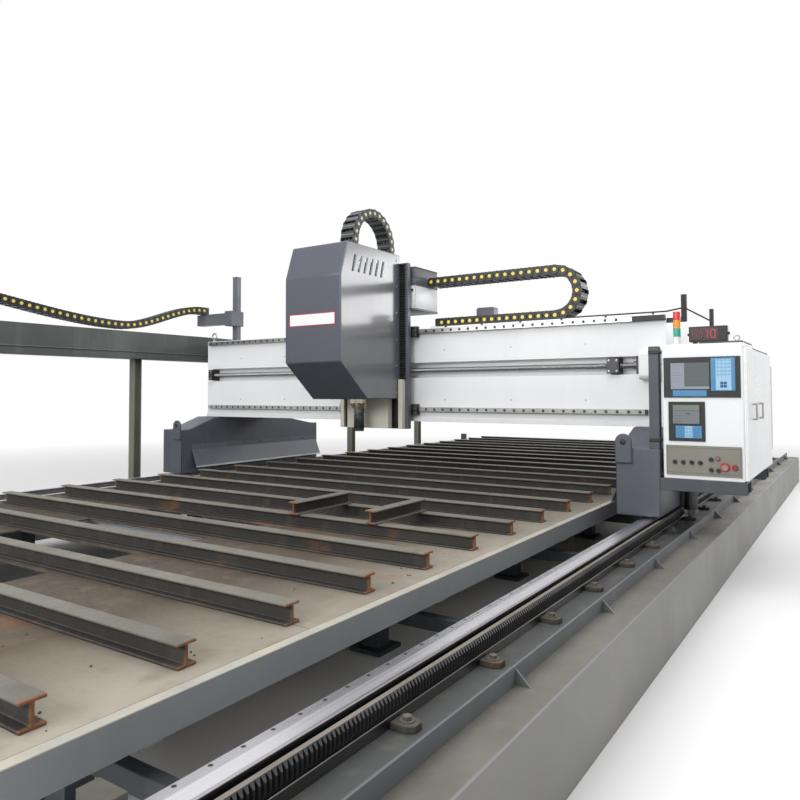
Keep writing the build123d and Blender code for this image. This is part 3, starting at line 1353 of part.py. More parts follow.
def chain_links(path, about_pitch, width):
    total = path_length(path)
    count = round(total / about_pitch)
    pitch = total / count
    pair = [link(pitch, width, False), link(pitch, width, True)]
    pieces = []
    for index in range(count):
        start, end = point_at(path, index * pitch), point_at(path, (index + 1) * pitch)
        angle = math.degrees(math.atan2(end[1] - start[1], end[0] - start[0]))
        centre = ((start[0] + end[0]) / 2, (start[1] + end[1]) / 2)
        pieces.append(Pos(centre[0], 0, centre[1]) * Rot(0, -angle, 0) * pair[index % 2])
    return pieces


def path_length(path):
    return sum(math.dist(p, q) for p, q in zip(path, path[1:]))


def point_at(path, distance):
    for p, q in zip(path, path[1:]):
        span = math.dist(p, q)
        if distance <= span:
            share = distance / span
            return (p[0] + (q[0] - p[0]) * share, p[1] + (q[1] - p[1]) * share)
        distance -= span
    return path[-1]


def half_turn(centre, radius, first, last, count=TURN_STEPS):
    angles = [first + (last - first) * index / count for index in range(count + 1)]
    return [
        (centre[0] + radius * math.cos(math.radians(a)), centre[1] + radius * math.sin(math.radians(a)))
        for a in angles
    ]


def ease(start, end, count=EASE_STEPS):
    points = []
    for index in range(count + 1):
        share = index / count
        height = start[1] + (end[1] - start[1]) * (1 - math.cos(math.pi * share)) / 2
        points.append((start[0] + (end[0] - start[0]) * share, height))
    return points


def cross_path():
    centre = (CROSS_BEND_X, CROSS_LOW_Z + CROSS_R)
    start = (BOX_RIGHT + LINK_TONGUE + SEAT, CROSS_HIGH_Z)
    return [start] + half_turn(centre, CROSS_R, 90, -90) + [(CROSS_FIXED_X, CROSS_LOW_Z)]


def head_path():
    centre = (HEAD_CHAIN_Y, HEAD_CHAIN_Z)
    front = (HEAD_CHAIN_Y - HEAD_CHAIN_R, MOTOR_TOP + CAP_THICK + LINK_TONGUE + SEAT)
    back = (HEAD_CHAIN_Y + HEAD_CHAIN_R, SHELF_TOP + LINK_TONGUE + SEAT)
    return [front] + half_turn(centre, HEAD_CHAIN_R, 180, 0) + [back]


def long_path():
    centre = (LONG_BEND_Y, LONG_LOW_Z + LONG_R)
    bend = half_turn(centre, LONG_R, 270, 90)
    sag = (LONG_SAG_Y, LONG_SAG_Z)
    fall = ease(bend[-1], sag)
    rise = ease(sag, (LONG_END_Y - LONG_END_FLAT, LONG_END_Z))
    return [(LONG_FIXED_Y, LONG_LOW_Z)] + bend + fall[1:] + rise[1:] + [(LONG_END_Y, LONG_END_Z)]


turn_to_y = Rot(0, 0, 90)
cross_links = chain_links(cross_path(), CROSS_PITCH, CROSS_WIDTH)
head_links = chain_links(head_path(), CROSS_PITCH, HEAD_CHAIN_WIDTH)
long_links = chain_links(long_path(), LONG_PITCH, LONG_WIDTH)
save("cross_chain", *[Pos(0, CROSS_Y, 0) * piece for piece in cross_links])
save("head_chain", *[Pos(HEAD_X, 0, 0) * turn_to_y * piece for piece in head_links])
save("gantry_chain", *[Pos(TRAY_X, 0, 0) * turn_to_y * piece for piece in long_links])
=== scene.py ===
import bmesh
import bpy
import json
import math
from mathutils import Euler, Matrix, Vector

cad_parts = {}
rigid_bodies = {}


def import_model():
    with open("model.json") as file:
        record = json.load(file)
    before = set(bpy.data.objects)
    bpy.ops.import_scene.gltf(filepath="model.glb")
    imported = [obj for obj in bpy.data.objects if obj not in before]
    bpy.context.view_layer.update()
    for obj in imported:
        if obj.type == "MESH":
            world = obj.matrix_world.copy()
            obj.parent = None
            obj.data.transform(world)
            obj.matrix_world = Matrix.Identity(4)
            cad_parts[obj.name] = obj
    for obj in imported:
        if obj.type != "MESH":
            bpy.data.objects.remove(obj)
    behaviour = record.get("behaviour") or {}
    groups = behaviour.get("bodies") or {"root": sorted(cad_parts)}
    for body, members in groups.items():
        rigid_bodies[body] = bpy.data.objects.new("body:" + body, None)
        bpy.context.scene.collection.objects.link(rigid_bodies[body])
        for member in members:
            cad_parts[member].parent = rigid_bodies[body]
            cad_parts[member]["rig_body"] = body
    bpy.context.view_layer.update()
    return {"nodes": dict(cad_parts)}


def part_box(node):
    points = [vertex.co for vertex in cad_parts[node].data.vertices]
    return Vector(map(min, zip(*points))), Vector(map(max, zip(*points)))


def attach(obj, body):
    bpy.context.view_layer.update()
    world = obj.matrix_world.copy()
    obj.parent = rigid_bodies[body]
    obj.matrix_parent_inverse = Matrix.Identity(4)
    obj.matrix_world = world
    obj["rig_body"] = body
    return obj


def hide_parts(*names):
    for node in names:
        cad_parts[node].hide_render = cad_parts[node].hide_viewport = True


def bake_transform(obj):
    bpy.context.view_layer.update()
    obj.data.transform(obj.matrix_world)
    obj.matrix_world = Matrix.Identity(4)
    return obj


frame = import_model()
scene = bpy.context.scene
print("frame loaded:", len(frame["nodes"]), "nodes")


# node helpers, for shaders and geometry alike

def addNode(tree, kind, inputs=None, **settings):
    node = tree.nodes.new(kind)
    for key, value in settings.items():
        setattr(node, key, value)
    for key, value in (inputs or {}).items():
        if isinstance(value, bpy.types.NodeSocket):
            tree.links.new(value, node.inputs[key])
        else:
            node.inputs[key].default_value = value
    return node


def newGroup(name, kind, inputs, outputs):
    group = bpy.data.node_groups.new(name, kind)
    for label, socketType, value in inputs:
        socket = group.interface.new_socket(label, in_out="INPUT", socket_type=socketType)
        if value is not None:
            socket.default_value = value
    for label, socketType in outputs:
        group.interface.new_socket(label, in_out="OUTPUT", socket_type=socketType)
    return group, addNode(group, "NodeGroupInput"), addNode(group, "NodeGroupOutput")


def noiseField(tree, vector, scale, detail=4.0, roughness=0.55):
    inputs = {"Vector": vector, "Scale": scale, "Detail": detail, "Roughness": roughness}
    return addNode(tree, "ShaderNodeTexNoise", inputs).outputs[0]


def spread(tree, value, low, high, toLow=0.0, toHigh=1.0):
    inputs = {0: value, 1: low, 2: high, 3: toLow, 4: toHigh}
    return addNode(tree, "ShaderNodeMapRange", inputs).outputs[0]


def calc(tree, operation, a, b=0.0):
    return addNode(tree, "ShaderNodeMath", {0: a, 1: b}, operation=operation).outputs[0]


def opaque(colour):
    return colour if isinstance(colour, bpy.types.NodeSocket) else (*colour, 1.0)


def blendColour(tree, factor, a, b):
    inputs = {0: factor, 6: opaque(a), 7: opaque(b)}
    return addNode(tree, "ShaderNodeMix", inputs, data_type="RGBA").outputs[2]


def stretched(tree, vector, factors):
    return addNode(tree, "ShaderNodeVectorMath", {0: vector, 1: factors}, operation="MULTIPLY").outputs[0]


def axes(tree, vector):
    return addNode(tree, "ShaderNodeSeparateXYZ", {0: vector}).outputs


# effects shared by the finishes

def makePaintAge():
    group, source, result = newGroup("paintAge", "ShaderNodeTree", [
        ("Vector", "NodeSocketVector", None),
        ("Patch Scale", "NodeSocketFloat", 2.0),
        ("Streak Scale", "NodeSocketFloat", 9.0),
    ], [("Patches", "NodeSocketFloat"), ("Streaks", "NodeSocketFloat"), ("Peel", "NodeSocketFloat")])
    vector = source.outputs["Vector"]
    falling = stretched(group, vector, (1.0, 1.0, 0.08))  # streaks run down
    patches = noiseField(group, vector, source.outputs["Patch Scale"], detail=6.0, roughness=0.62)
    runs = noiseField(group, falling, source.outputs["Streak Scale"], detail=3.0)
    peel = noiseField(group, vector, 260.0, detail=2.0)
    group.links.new(spread(group, patches, 0.36, 0.68), result.inputs["Patches"])
    group.links.new(spread(group, runs, 0.52, 0.78), result.inputs["Streaks"])
    group.links.new(peel, result.inputs["Peel"])
    return group


def makeRustBloom():
    group, source, result = newGroup("rustBloom", "ShaderNodeTree", [
        ("Vector", "NodeSocketVector", None),
        ("Scale", "NodeSocketFloat", 5.0),
        ("Cover", "NodeSocketFloat", 0.5),
    ], [("Rust", "NodeSocketFloat"), ("Tone", "NodeSocketColor"), ("Scale Height", "NodeSocketFloat")])
    vector = source.outputs["Vector"]
    broad = noiseField(group, vector, source.outputs["Scale"], detail=8.0, roughness=0.68)
    fine = noiseField(group, vector, 46.0, detail=5.0, roughness=0.7)
    edge = calc(group, "SUBTRACT", 1.0, source.outputs["Cover"])
    mask = spread(group, calc(group, "SUBTRACT", broad, edge), -0.08, 0.14)
    tone = blendColour(group, fine, (0.055, 0.022, 0.010), (0.30, 0.125, 0.045))
    group.links.new(mask, result.inputs["Rust"])
    group.links.new(tone, result.inputs["Tone"])
    group.links.new(fine, result.inputs["Scale Height"])
    return group


def makeToolMarks():
    group, source, result = newGroup("toolMarks", "ShaderNodeTree", [
        ("Vector", "NodeSocketVector", None),
        ("Across", "NodeSocketVector", (1.0, 1.0, 1.0)),
        ("Scale", "NodeSocketFloat", 60.0),
    ], [("Marks", "NodeSocketFloat"), ("Stain", "NodeSocketFloat")])
    drawn = stretched(group, source.outputs["Vector"], source.outputs["Across"])
    marks = noiseField(group, drawn, source.outputs["Scale"], detail=3.0)
    stain = noiseField(group, source.outputs["Vector"], 3.1, detail=6.0, roughness=0.65)
    group.links.new(marks, result.inputs["Marks"])
    group.links.new(spread(group, stain, 0.42, 0.70), result.inputs["Stain"])
    return group


def makeScrewThread():
    group, source, result = newGroup("screwThread", "ShaderNodeTree", [
        ("Along", "NodeSocketFloat", 0.0),
        ("Across", "NodeSocketFloat", 0.0),
        ("Upward", "NodeSocketFloat", 0.0),
        ("Lead", "NodeSocketFloat", 0.01),
        ("Starts", "NodeSocketFloat", 1.0),
    ], [("Groove", "NodeSocketFloat")])
    turn = calc(group, "ARCTAN2", source.outputs["Across"], source.outputs["Upward"])
    turns = calc(group, "DIVIDE", source.outputs["Along"], source.outputs["Lead"])
    phase = calc(group, "ADD", calc(group, "MULTIPLY", turns, math.tau), turn)
    wave = calc(group, "SINE", calc(group, "MULTIPLY", phase, source.outputs["Starts"]))
    group.links.new(spread(group, wave, -1.0, 1.0), result.inputs["Groove"])
    return group


paintAge = makePaintAge()
rustBloom = makeRustBloom()
toolMarks = makeToolMarks()
screwThread = makeScrewThread()


# finishes

def newMaterial(name):
    material = bpy.data.materials.new(name)
    material.use_nodes = True
    tree = material.node_tree
    shader = tree.nodes["Principled BSDF"]
    spot = addNode(tree, "ShaderNodeTexCoord").outputs["Object"]
    return material, tree, shader, spot


def colourAndGloss(tree, shader, base, gloss):
    tree.links.new(base, shader.inputs["Base Color"])
    tree.links.new(gloss, shader.inputs["Roughness"])


def addBump(tree, shader, height, strength, distance):
    bump = addNode(tree, "ShaderNodeBump", {"Height": height, "Strength": strength, "Distance": distance})
    tree.links.new(bump.outputs["Normal"], shader.inputs["Normal"])


def agedPaint(tree, spot, patchScale):
    inputs = {"Vector": spot, "Patch Scale": patchScale}
    return addNode(tree, "ShaderNodeGroup", inputs, node_tree=paintAge).outputs


paintPeel = {"strength": 0.12, "distance": 0.0006}
coatRipple = {"roughness": 0.13, "stretch": (1.0, 0.25, 1.0), "scale": 1.9, "distance": 0.006}


def addCoat(tree, shader, spot, ior):
    shader.inputs["Coat Weight"].default_value = 1.0
    shader.inputs["Coat Roughness"].default_value = coatRipple["roughness"]
    shader.inputs["Coat IOR"].default_value = ior
    waves = noiseField(tree, stretched(tree, spot, coatRipple["stretch"]), coatRipple["scale"], detail=1.0)
    ripple = addNode(tree, "ShaderNodeBump", {"Height": waves, "Distance": coatRipple["distance"]})
    tree.links.new(ripple.outputs["Normal"], shader.inputs["Coat Normal"])


def settledDust(tree, spot, base, settled):
    height = axes(tree, spot)["Z"]
    cover = spread(tree, noiseField(tree, spot, 3.4, detail=5.0), 0.30, 0.62, 0.35, 1.0)
    lying = calc(tree, "MULTIPLY", spread(tree, height, settled["bare"], settled["full"]), cover)
    return blendColour(tree, lying, base, settled["tint"])


def paintFinish(name, colour, shade, roughness=0.38, patchScale=1.6, streaks=0.25,
                dust=(0.42, 0.39, 0.34), coatIor=None, settled=None):
    material, tree, shader, spot = newMaterial(name)
    age = agedPaint(tree, spot, patchScale)
    base = blendColour(tree, age["Patches"], colour, shade)
    base = blendColour(tree, calc(tree, "MULTIPLY", age["Streaks"], streaks), base, dust)
    if settled:
        base = settledDust(tree, spot, base, settled)
    gloss = spread(tree, age["Patches"], 0.0, 1.0, roughness - 0.05, roughness + 0.14)
    colourAndGloss(tree, shader, base, gloss)
    addBump(tree, shader, age["Peel"], **paintPeel)
    if coatIor:
        addCoat(tree, shader, spot, coatIor)
    return material


bedZones = {"side": (3.386, 3.392), "lip": (0.402, 0.406), "gutter": (3.16, 3.13)}  # where each fades in


def bedFinish(name, tints):
    material, tree, shader, spot = newMaterial(name)
    age = agedPaint(tree, spot, 1.1)
    parts = axes(tree, spot)
    away = calc(tree, "ABSOLUTE", parts["X"])
    base = blendColour(tree, age["Patches"], tints["ledge"], tints["soil"])
    for zone, measure in (("side", away), ("lip", parts["Z"]), ("gutter", away)):
        base = blendColour(tree, spread(tree, measure, *bedZones[zone]), base, tints[zone])
    base = blendColour(tree, calc(tree, "MULTIPLY", age["Streaks"], 0.3), base, tints["dust"])
    colourAndGloss(tree, shader, base, spread(tree, age["Patches"], 0.0, 1.0, 0.45, 0.66))
    addBump(tree, shader, age["Peel"], **paintPeel)
    return material


def trackWearAndHighlight(tree, spot, base, track):  # polished line, painted lighter as a highlight, plugged holes beside it and a dull outer edge
    parts = axes(tree, spot)
    away = calc(tree, "ABSOLUTE", parts["X"])
    offLine = calc(tree, "ABSOLUTE", calc(tree, "SUBTRACT", away, track["line"]))
    base = blendColour(tree, spread(tree, offLine, *track["lineFade"]), base, track["lineTintAndHighlight"])
    along = calc(tree, "PINGPONG", parts["Y"], track["pitch"] / 2.0)
    beside = calc(tree, "SUBTRACT", away, track["holes"])
    squares = [calc(tree, "MULTIPLY", length, length) for length in (along, beside)]
    reach = calc(tree, "SQRT", calc(tree, "ADD", *squares))
    base = blendColour(tree, spread(tree, reach, *track["holeFade"]), base, track["holeTint"])
    return blendColour(tree, spread(tree, away, *track["edgeFade"]), base, track["edgeTint"])


def steelFinish(name, colour, dark, roughness, across=(1.0, 0.02, 1.0), track=None):
    material, tree, shader, spot = newMaterial(name)
    inputs = {"Vector": spot, "Across": across}
    marks = addNode(tree, "ShaderNodeGroup", inputs, node_tree=toolMarks).outputs
    base = blendColour(tree, marks["Stain"], colour, dark)
    if track:
        base = trackWearAndHighlight(tree, spot, base, track)
    gloss = spread(tree, marks["Marks"], 0.3, 0.7, roughness - 0.07, roughness + 0.12)
    colourAndGloss(tree, shader, base, gloss)
    shader.inputs["Metallic"].default_value = 1.0
    addBump(tree, shader, marks["Marks"], 0.15, 0.0005)
    return material


def rustyEnds(tree, spot, cover, ends):
    parts = axes(tree, spot)
    slatEnds = spread(tree, calc(tree, "ABSOLUTE", parts["X"]), ends["slatX"] - 0.03, ends["slatX"])
    packerOff = calc(tree, "ABSOLUTE", calc(tree, "SUBTRACT", parts["Y"], ends["packerY"]))
    rusty = calc(tree, "MAXIMUM", slatEnds, spread(tree, packerOff, 0.025, 0.008))
    return spread(tree, rusty, 0.0, 1.0, cover, cover + 0.4)


def sideRamps(tree, spot, base, patches, drift):  # darker towards low X, pale dust towards high X
    sideways = axes(tree, spot)["X"]
    lowXDarkening = spread(tree, sideways, *drift["lowXFade"], 0.0, drift["lowXMost"])
    base = blendColour(tree, lowXDarkening, base, drift["lowXTint"])
    uneven = spread(tree, patches, 0.0, 1.0, 0.95, 0.5)
    dusty = calc(tree, "MULTIPLY", spread(tree, sideways, *drift["dustFade"]), uneven)
    return blendColour(tree, dusty, base, drift["dust"])


def wornTops(tree, spot, base, patches, tops):
    height = axes(tree, spot)["Z"]
    worn = spread(tree, patches, 0.0, 1.0, 1.0, 0.62)
    for low, high in tops["bands"]:
        above = spread(tree, height, low - 0.002, low)
        band = calc(tree, "SUBTRACT", above, spread(tree, height, high, high + 0.002))
        base = blendColour(tree, calc(tree, "MULTIPLY", band, worn), base, tops["tint"])
    return base


def rustedFinish(name, colour, dark, cover, scale, dust, roughness=0.72, ends=None, tops=None, drift=None):
    material, tree, shader, spot = newMaterial(name)
    age = agedPaint(tree, spot, scale * 0.35)
    if ends:
        cover = rustyEnds(tree, spot, cover, ends)
    inputs = {"Vector": spot, "Scale": scale, "Cover": cover}
    bloom = addNode(tree, "ShaderNodeGroup", inputs, node_tree=rustBloom).outputs
    base = blendColour(tree, age["Patches"], colour, dark)
    if drift:
        base = sideRamps(tree, spot, base, age["Patches"], drift)
    if tops:
        base = wornTops(tree, spot, base, age["Patches"], tops)
    base = blendColour(tree, calc(tree, "MULTIPLY", age["Streaks"], 0.5), base, dust)
    base = blendColour(tree, bloom["Rust"], base, bloom["Tone"])
    gloss = spread(tree, bloom["Scale Height"], 0.25, 0.75, roughness - 0.1, roughness + 0.2)
    colourAndGloss(tree, shader, base, gloss)
    addBump(tree, shader, bloom["Scale Height"], 0.35, 0.002)
    return material


def plasticFinish(name, colour, shade, roughness=0.42, grain=420.0):
    material, tree, shader, spot = newMaterial(name)
    speck = noiseField(tree, spot, grain, detail=3.0)
    scuff = spread(tree, noiseField(tree, spot, 14.0, detail=6.0, roughness=0.66), 0.5, 0.75)
    gloss = spread(tree, speck, 0.3, 0.7, roughness - 0.06, roughness + 0.1)
    colourAndGloss(tree, shader, blendColour(tree, scuff, colour, shade), gloss)
    addBump(tree, shader, speck, 0.1, 0.0004)
    return material


# the dark root colour is painted shade in the thread's grooves, which are only a bump; the crest colour is
# the steel's own
threadTintsWithRootShade = {"root": (0.09, 0.085, 0.08), "crest": (0.52, 0.52, 0.52)}


def threadFinish(name, axis, centre, lead, starts):
    material, tree, shader, spot = newMaterial(name)
    moved = addNode(tree, "ShaderNodeVectorMath", {0: spot, 1: centre}, operation="SUBTRACT").outputs[0]
    parts = axes(tree, moved)
    order = ("X", "Y", "Z") if axis == "X" else ("Z", "X", "Y")
    inputs = {label: parts[key] for label, key in zip(("Along", "Across", "Upward"), order)}
    inputs.update({"Lead": lead, "Starts": starts})
    groove = addNode(tree, "ShaderNodeGroup", inputs, node_tree=screwThread).outputs["Groove"]
    base = blendColour(tree, groove, threadTintsWithRootShade["root"], threadTintsWithRootShade["crest"])
    colourAndGloss(tree, shader, base, spread(tree, groove, 0.0, 1.0, 0.5, 0.24))
    shader.inputs["Metallic"].default_value = 1.0
    addBump(tree, shader, groove, 0.8, 0.003)
    return material


screenGlass = {"dark": (0.02, 0.03, 0.04), "pale": (0.05, 0.06, 0.07), "glow": 0.55, "roughness": 0.12}


def screenFinish(name, glow, dim, bandScale):
    material, tree, shader, spot = newMaterial(name)
    haze = noiseField(tree, spot, bandScale, detail=2.0)
    tree.links.new(blendColour(tree, haze, glow, dim), shader.inputs["Emission Color"])
    glass = blendColour(tree, haze, screenGlass["dark"], screenGlass["pale"])
    tree.links.new(glass, shader.inputs["Base Color"])
    shader.inputs["Emission Strength"].default_value = screenGlass["glow"]
    shader.inputs["Roughness"].default_value = screenGlass["roughness"]
    return material


whitePaint = paintFinish("whitePaint", (0.80, 0.81, 0.82), (0.74, 0.755, 0.77), roughness=0.3,
                         patchScale=0.8, streaks=0.06, dust=(0.55, 0.55, 0.54))
beamPaint = paintFinish("beamPaint", (0.78, 0.79, 0.80), (0.72, 0.735, 0.75), roughness=0.34,
                        patchScale=0.7, streaks=0.10, dust=(0.52, 0.52, 0.52))
creamPaint = paintFinish("creamPaint", (0.64, 0.62, 0.53), (0.56, 0.54, 0.45), roughness=0.4,
                         patchScale=1.5, streaks=0.2)
slatePaint = paintFinish("slatePaint", (0.105, 0.112, 0.135), (0.085, 0.091, 0.112), roughness=0.36,
                         patchScale=1.2, streaks=0.10, dust=(0.22, 0.22, 0.22))
hoodPaint = paintFinish("hoodPaint", (0.075, 0.080, 0.105), (0.064, 0.068, 0.090), roughness=0.32,
                        patchScale=0.9, streaks=0.03, dust=(0.12, 0.12, 0.12))
# the hood's side faces and side lips: a lighter copy of the hood paint as painted light, under a glossy coat
hoodGlossLitSide = paintFinish("hoodGlossLitSide", (0.125, 0.130, 0.150), (0.110, 0.115, 0.134), roughness=0.3,
                        patchScale=0.9, streaks=0.03, dust=(0.14, 0.14, 0.14), coatIor=1.6)
guardPaint = paintFinish("guardPaint", (0.108, 0.115, 0.140), (0.088, 0.094, 0.116), roughness=0.3,
                         patchScale=1.4, streaks=0.12, dust=(0.20, 0.20, 0.21),
                         settled={"bare": 0.606, "full": 0.592, "tint": (0.50, 0.50, 0.49)})
standPaint = paintFinish("standPaint", (0.058, 0.063, 0.078), (0.047, 0.051, 0.063), roughness=0.44,
                         patchScale=1.6, streaks=0.2, dust=(0.13, 0.12, 0.11))
truckPaint = paintFinish("truckPaint", (0.080, 0.086, 0.108), (0.060, 0.065, 0.083), roughness=0.4,
                         patchScale=1.8, streaks=0.14, dust=(0.17, 0.17, 0.18))
greenPaint = paintFinish("greenPaint", (0.081, 0.096, 0.090), (0.064, 0.076, 0.072), roughness=0.48,
                         patchScale=1.4, streaks=0.35, dust=(0.18, 0.18, 0.145))
columnPaint = paintFinish("columnPaint", (0.150, 0.156, 0.120), (0.118, 0.122, 0.096), roughness=0.5,
                          patchScale=1.4, streaks=0.35, dust=(0.24, 0.23, 0.18))
legPaint = paintFinish("legPaint", (0.045, 0.055, 0.065), (0.036, 0.044, 0.052), roughness=0.5,
                       patchScale=1.6, streaks=0.3, dust=(0.12, 0.11, 0.10))
tablePaint = paintFinish("tablePaint", (0.265, 0.285, 0.295), (0.220, 0.235, 0.245), roughness=0.46,
                         patchScale=1.3, streaks=0.3, dust=(0.31, 0.29, 0.26),
                         settled={"bare": 0.498, "full": 0.503, "tint": (0.47, 0.435, 0.355)})
panelPaint = paintFinish("panelPaint", (0.212, 0.203, 0.168), (0.186, 0.177, 0.147), roughness=0.45,
                         patchScale=2.5, streaks=0.1)
stripEdge = paintFinish("stripEdge", (0.13, 0.12, 0.10), (0.11, 0.10, 0.085), roughness=0.45)
bedPaint = bedFinish("bedPaint", {
    "ledge": (0.164, 0.157, 0.136), "soil": (0.105, 0.098, 0.084), "side": (0.205, 0.203, 0.196),
    "lip": (0.112, 0.120, 0.128), "gutter": (0.062, 0.067, 0.064), "dust": (0.24, 0.21, 0.17)})

deckSteel = rustedFinish("deckSteel", (0.092, 0.068, 0.045), (0.060, 0.045, 0.031), cover=0.35, scale=1.7,
                         dust=(0.15, 0.122, 0.090), drift={
                             "lowXTint": (0.028, 0.022, 0.016), "lowXFade": (1.6, -0.2), "lowXMost": 0.85,
                             "dust": (0.37, 0.337, 0.275), "dustFade": (1.55, 2.32)})
slatSteel = rustedFinish("slatSteel", (0.036, 0.033, 0.027), (0.022, 0.020, 0.017), cover=0.32, scale=2.6,
                         dust=(0.075, 0.066, 0.052), roughness=0.6,
                         ends={"slatX": 2.277, "packerY": -3.287},
                         tops={"tint": (0.175, 0.167, 0.141), "bands": [(0.588, 0.610), (0.682, 0.700)]})
clampSteel = rustedFinish("clampSteel", (0.085, 0.078, 0.066), (0.055, 0.050, 0.042), cover=0.37, scale=5.0,
                          dust=(0.14, 0.125, 0.105))
boltSteel = rustedFinish("boltSteel", (0.15, 0.13, 0.11), (0.10, 0.085, 0.07), cover=0.36, scale=9.0,
                         dust=(0.22, 0.19, 0.16), roughness=0.6)
rackTop = rustedFinish("rackTop", (0.20, 0.18, 0.155), (0.14, 0.125, 0.108), cover=0.33, scale=6.0,
                       dust=(0.25, 0.225, 0.195), roughness=0.6)

# the rail's bright line is its polished track, painted lighter as a highlight
railSteel = steelFinish("railSteel", (0.50, 0.49, 0.52), (0.40, 0.39, 0.42), 0.26, (1.0, 0.003, 1.0), {
    "line": 2.915, "lineFade": (0.030, 0.024), "lineTintAndHighlight": (0.72, 0.71, 0.74),
    "holes": 2.860, "pitch": 0.12, "holeFade": (0.0085, 0.0065), "holeTint": (0.03, 0.03, 0.03),
    "edgeFade": (2.948, 2.956), "edgeTint": (0.16, 0.15, 0.15)})
waySteel = steelFinish("waySteel", (0.44, 0.44, 0.43), (0.30, 0.30, 0.295), 0.32, (0.02, 1.0, 1.0))
darkSteel = steelFinish("darkSteel", (0.075, 0.075, 0.078), (0.045, 0.043, 0.042), 0.46)
brightSteel = steelFinish("brightSteel", (0.66, 0.66, 0.67), (0.50, 0.50, 0.50), 0.22, (1.0, 1.0, 0.05))
brassSteel = steelFinish("brassSteel", (0.62, 0.57, 0.46), (0.48, 0.43, 0.33), 0.24, (1.0, 1.0, 0.05))
toolSteel = steelFinish("toolSteel", (0.11, 0.125, 0.115), (0.07, 0.08, 0.075), 0.3, (1.0, 1.0, 0.05))
zincSteel = steelFinish("zincSteel", (0.42, 0.42, 0.41), (0.28, 0.27, 0.25), 0.4, (1.0, 1.0, 1.0))
crossThread = threadFinish("crossThread", "X", (0.0, -0.825, 1.737), lead=0.04, starts=4.0)
feedThread = threadFinish("feedThread", "Z", (-0.112, -1.011, 0.0), lead=0.02, starts=2.0)

chainPlastic = plasticFinish("chainPlastic", (0.012, 0.013, 0.014), (0.03, 0.031, 0.032), 0.45)
barPlastic = plasticFinish("barPlastic", (0.16, 0.165, 0.17), (0.24, 0.245, 0.25), 0.4)
yellowPlastic = plasticFinish("yellowPlastic", (0.78, 0.60, 0.08), (0.70, 0.54, 0.14), 0.45)
palePlastic = plasticFinish("palePlastic", (0.66, 0.66, 0.44), (0.58, 0.58, 0.40), 0.45)
linkGrey = plasticFinish("linkGrey", (0.030, 0.036, 0.033), (0.055, 0.062, 0.057), 0.42)
blackPlastic = plasticFinish("blackPlastic", (0.006, 0.0065, 0.007), (0.014, 0.014, 0.015), 0.48)
hoseRubber = plasticFinish("hoseRubber", (0.02, 0.02, 0.021), (0.045, 0.044, 0.043), 0.55, grain=160.0)
redPlastic = plasticFinish("redPlastic", (0.46, 0.020, 0.022), (0.36, 0.022, 0.022), 0.36)
redDark = plasticFinish("redDark", (0.27, 0.016, 0.018), (0.22, 0.016, 0.018), 0.36)
# pale pink face of the emergency stop's red head: a painted highlight
stopPaintedHighlight = plasticFinish("stopPaintedHighlight", (0.30, 0.20, 0.185), (0.27, 0.17, 0.16), 0.4)
lampRed = plasticFinish("lampRed", (0.26, 0.12, 0.10), (0.22, 0.10, 0.09), 0.3)
lensRed = plasticFinish("lensRed", (0.70, 0.04, 0.05), (0.62, 0.05, 0.05), 0.2)
lensAmber = plasticFinish("lensAmber", (0.82, 0.30, 0.03), (0.75, 0.27, 0.03), 0.2)
lensGreen = plasticFinish("lensGreen", (0.03, 0.38, 0.28), (0.04, 0.33, 0.25), 0.2)
keyPale = plasticFinish("keyPale", (0.30, 0.52, 0.70), (0.27, 0.48, 0.66), 0.36)
keyMist = plasticFinish("keyMist", (0.20, 0.40, 0.58), (0.18, 0.37, 0.54), 0.36)
keySky = plasticFinish("keySky", (0.065, 0.235, 0.44), (0.055, 0.21, 0.41), 0.36)
keyNavy = plasticFinish("keyNavy", (0.018, 0.06, 0.20), (0.022, 0.07, 0.22), 0.36)
meterGlass = plasticFinish("meterGlass", (0.030, 0.006, 0.006), (0.022, 0.005, 0.005), 0.16)
meterDim = plasticFinish("meterDim", (0.085, 0.008, 0.008), (0.07, 0.007, 0.007), 0.3)

screenGrey = screenFinish("screenGrey", (0.14, 0.16, 0.17), (0.08, 0.09, 0.10), 22.0)
screenPale = screenFinish("screenPale", (0.52, 0.54, 0.62), (0.44, 0.47, 0.56), 30.0)
screenGreen = screenFinish("screenGreen", (0.17, 0.19, 0.165), (0.12, 0.135, 0.12), 26.0)
screenLine = screenFinish("screenLine", (0.36, 0.39, 0.50), (0.32, 0.35, 0.46), 30.0)
screenMoss = screenFinish("screenMoss", (0.30, 0.34, 0.26), (0.25, 0.29, 0.22), 26.0)
screenMist = screenFinish("screenMist", (0.30, 0.31, 0.32), (0.24, 0.25, 0.27), 26.0)
digitRed = screenFinish("digitRed", (1.0, 0.04, 0.03), (0.85, 0.03, 0.02), 60.0)
print("finishes made:", len(bpy.data.materials))

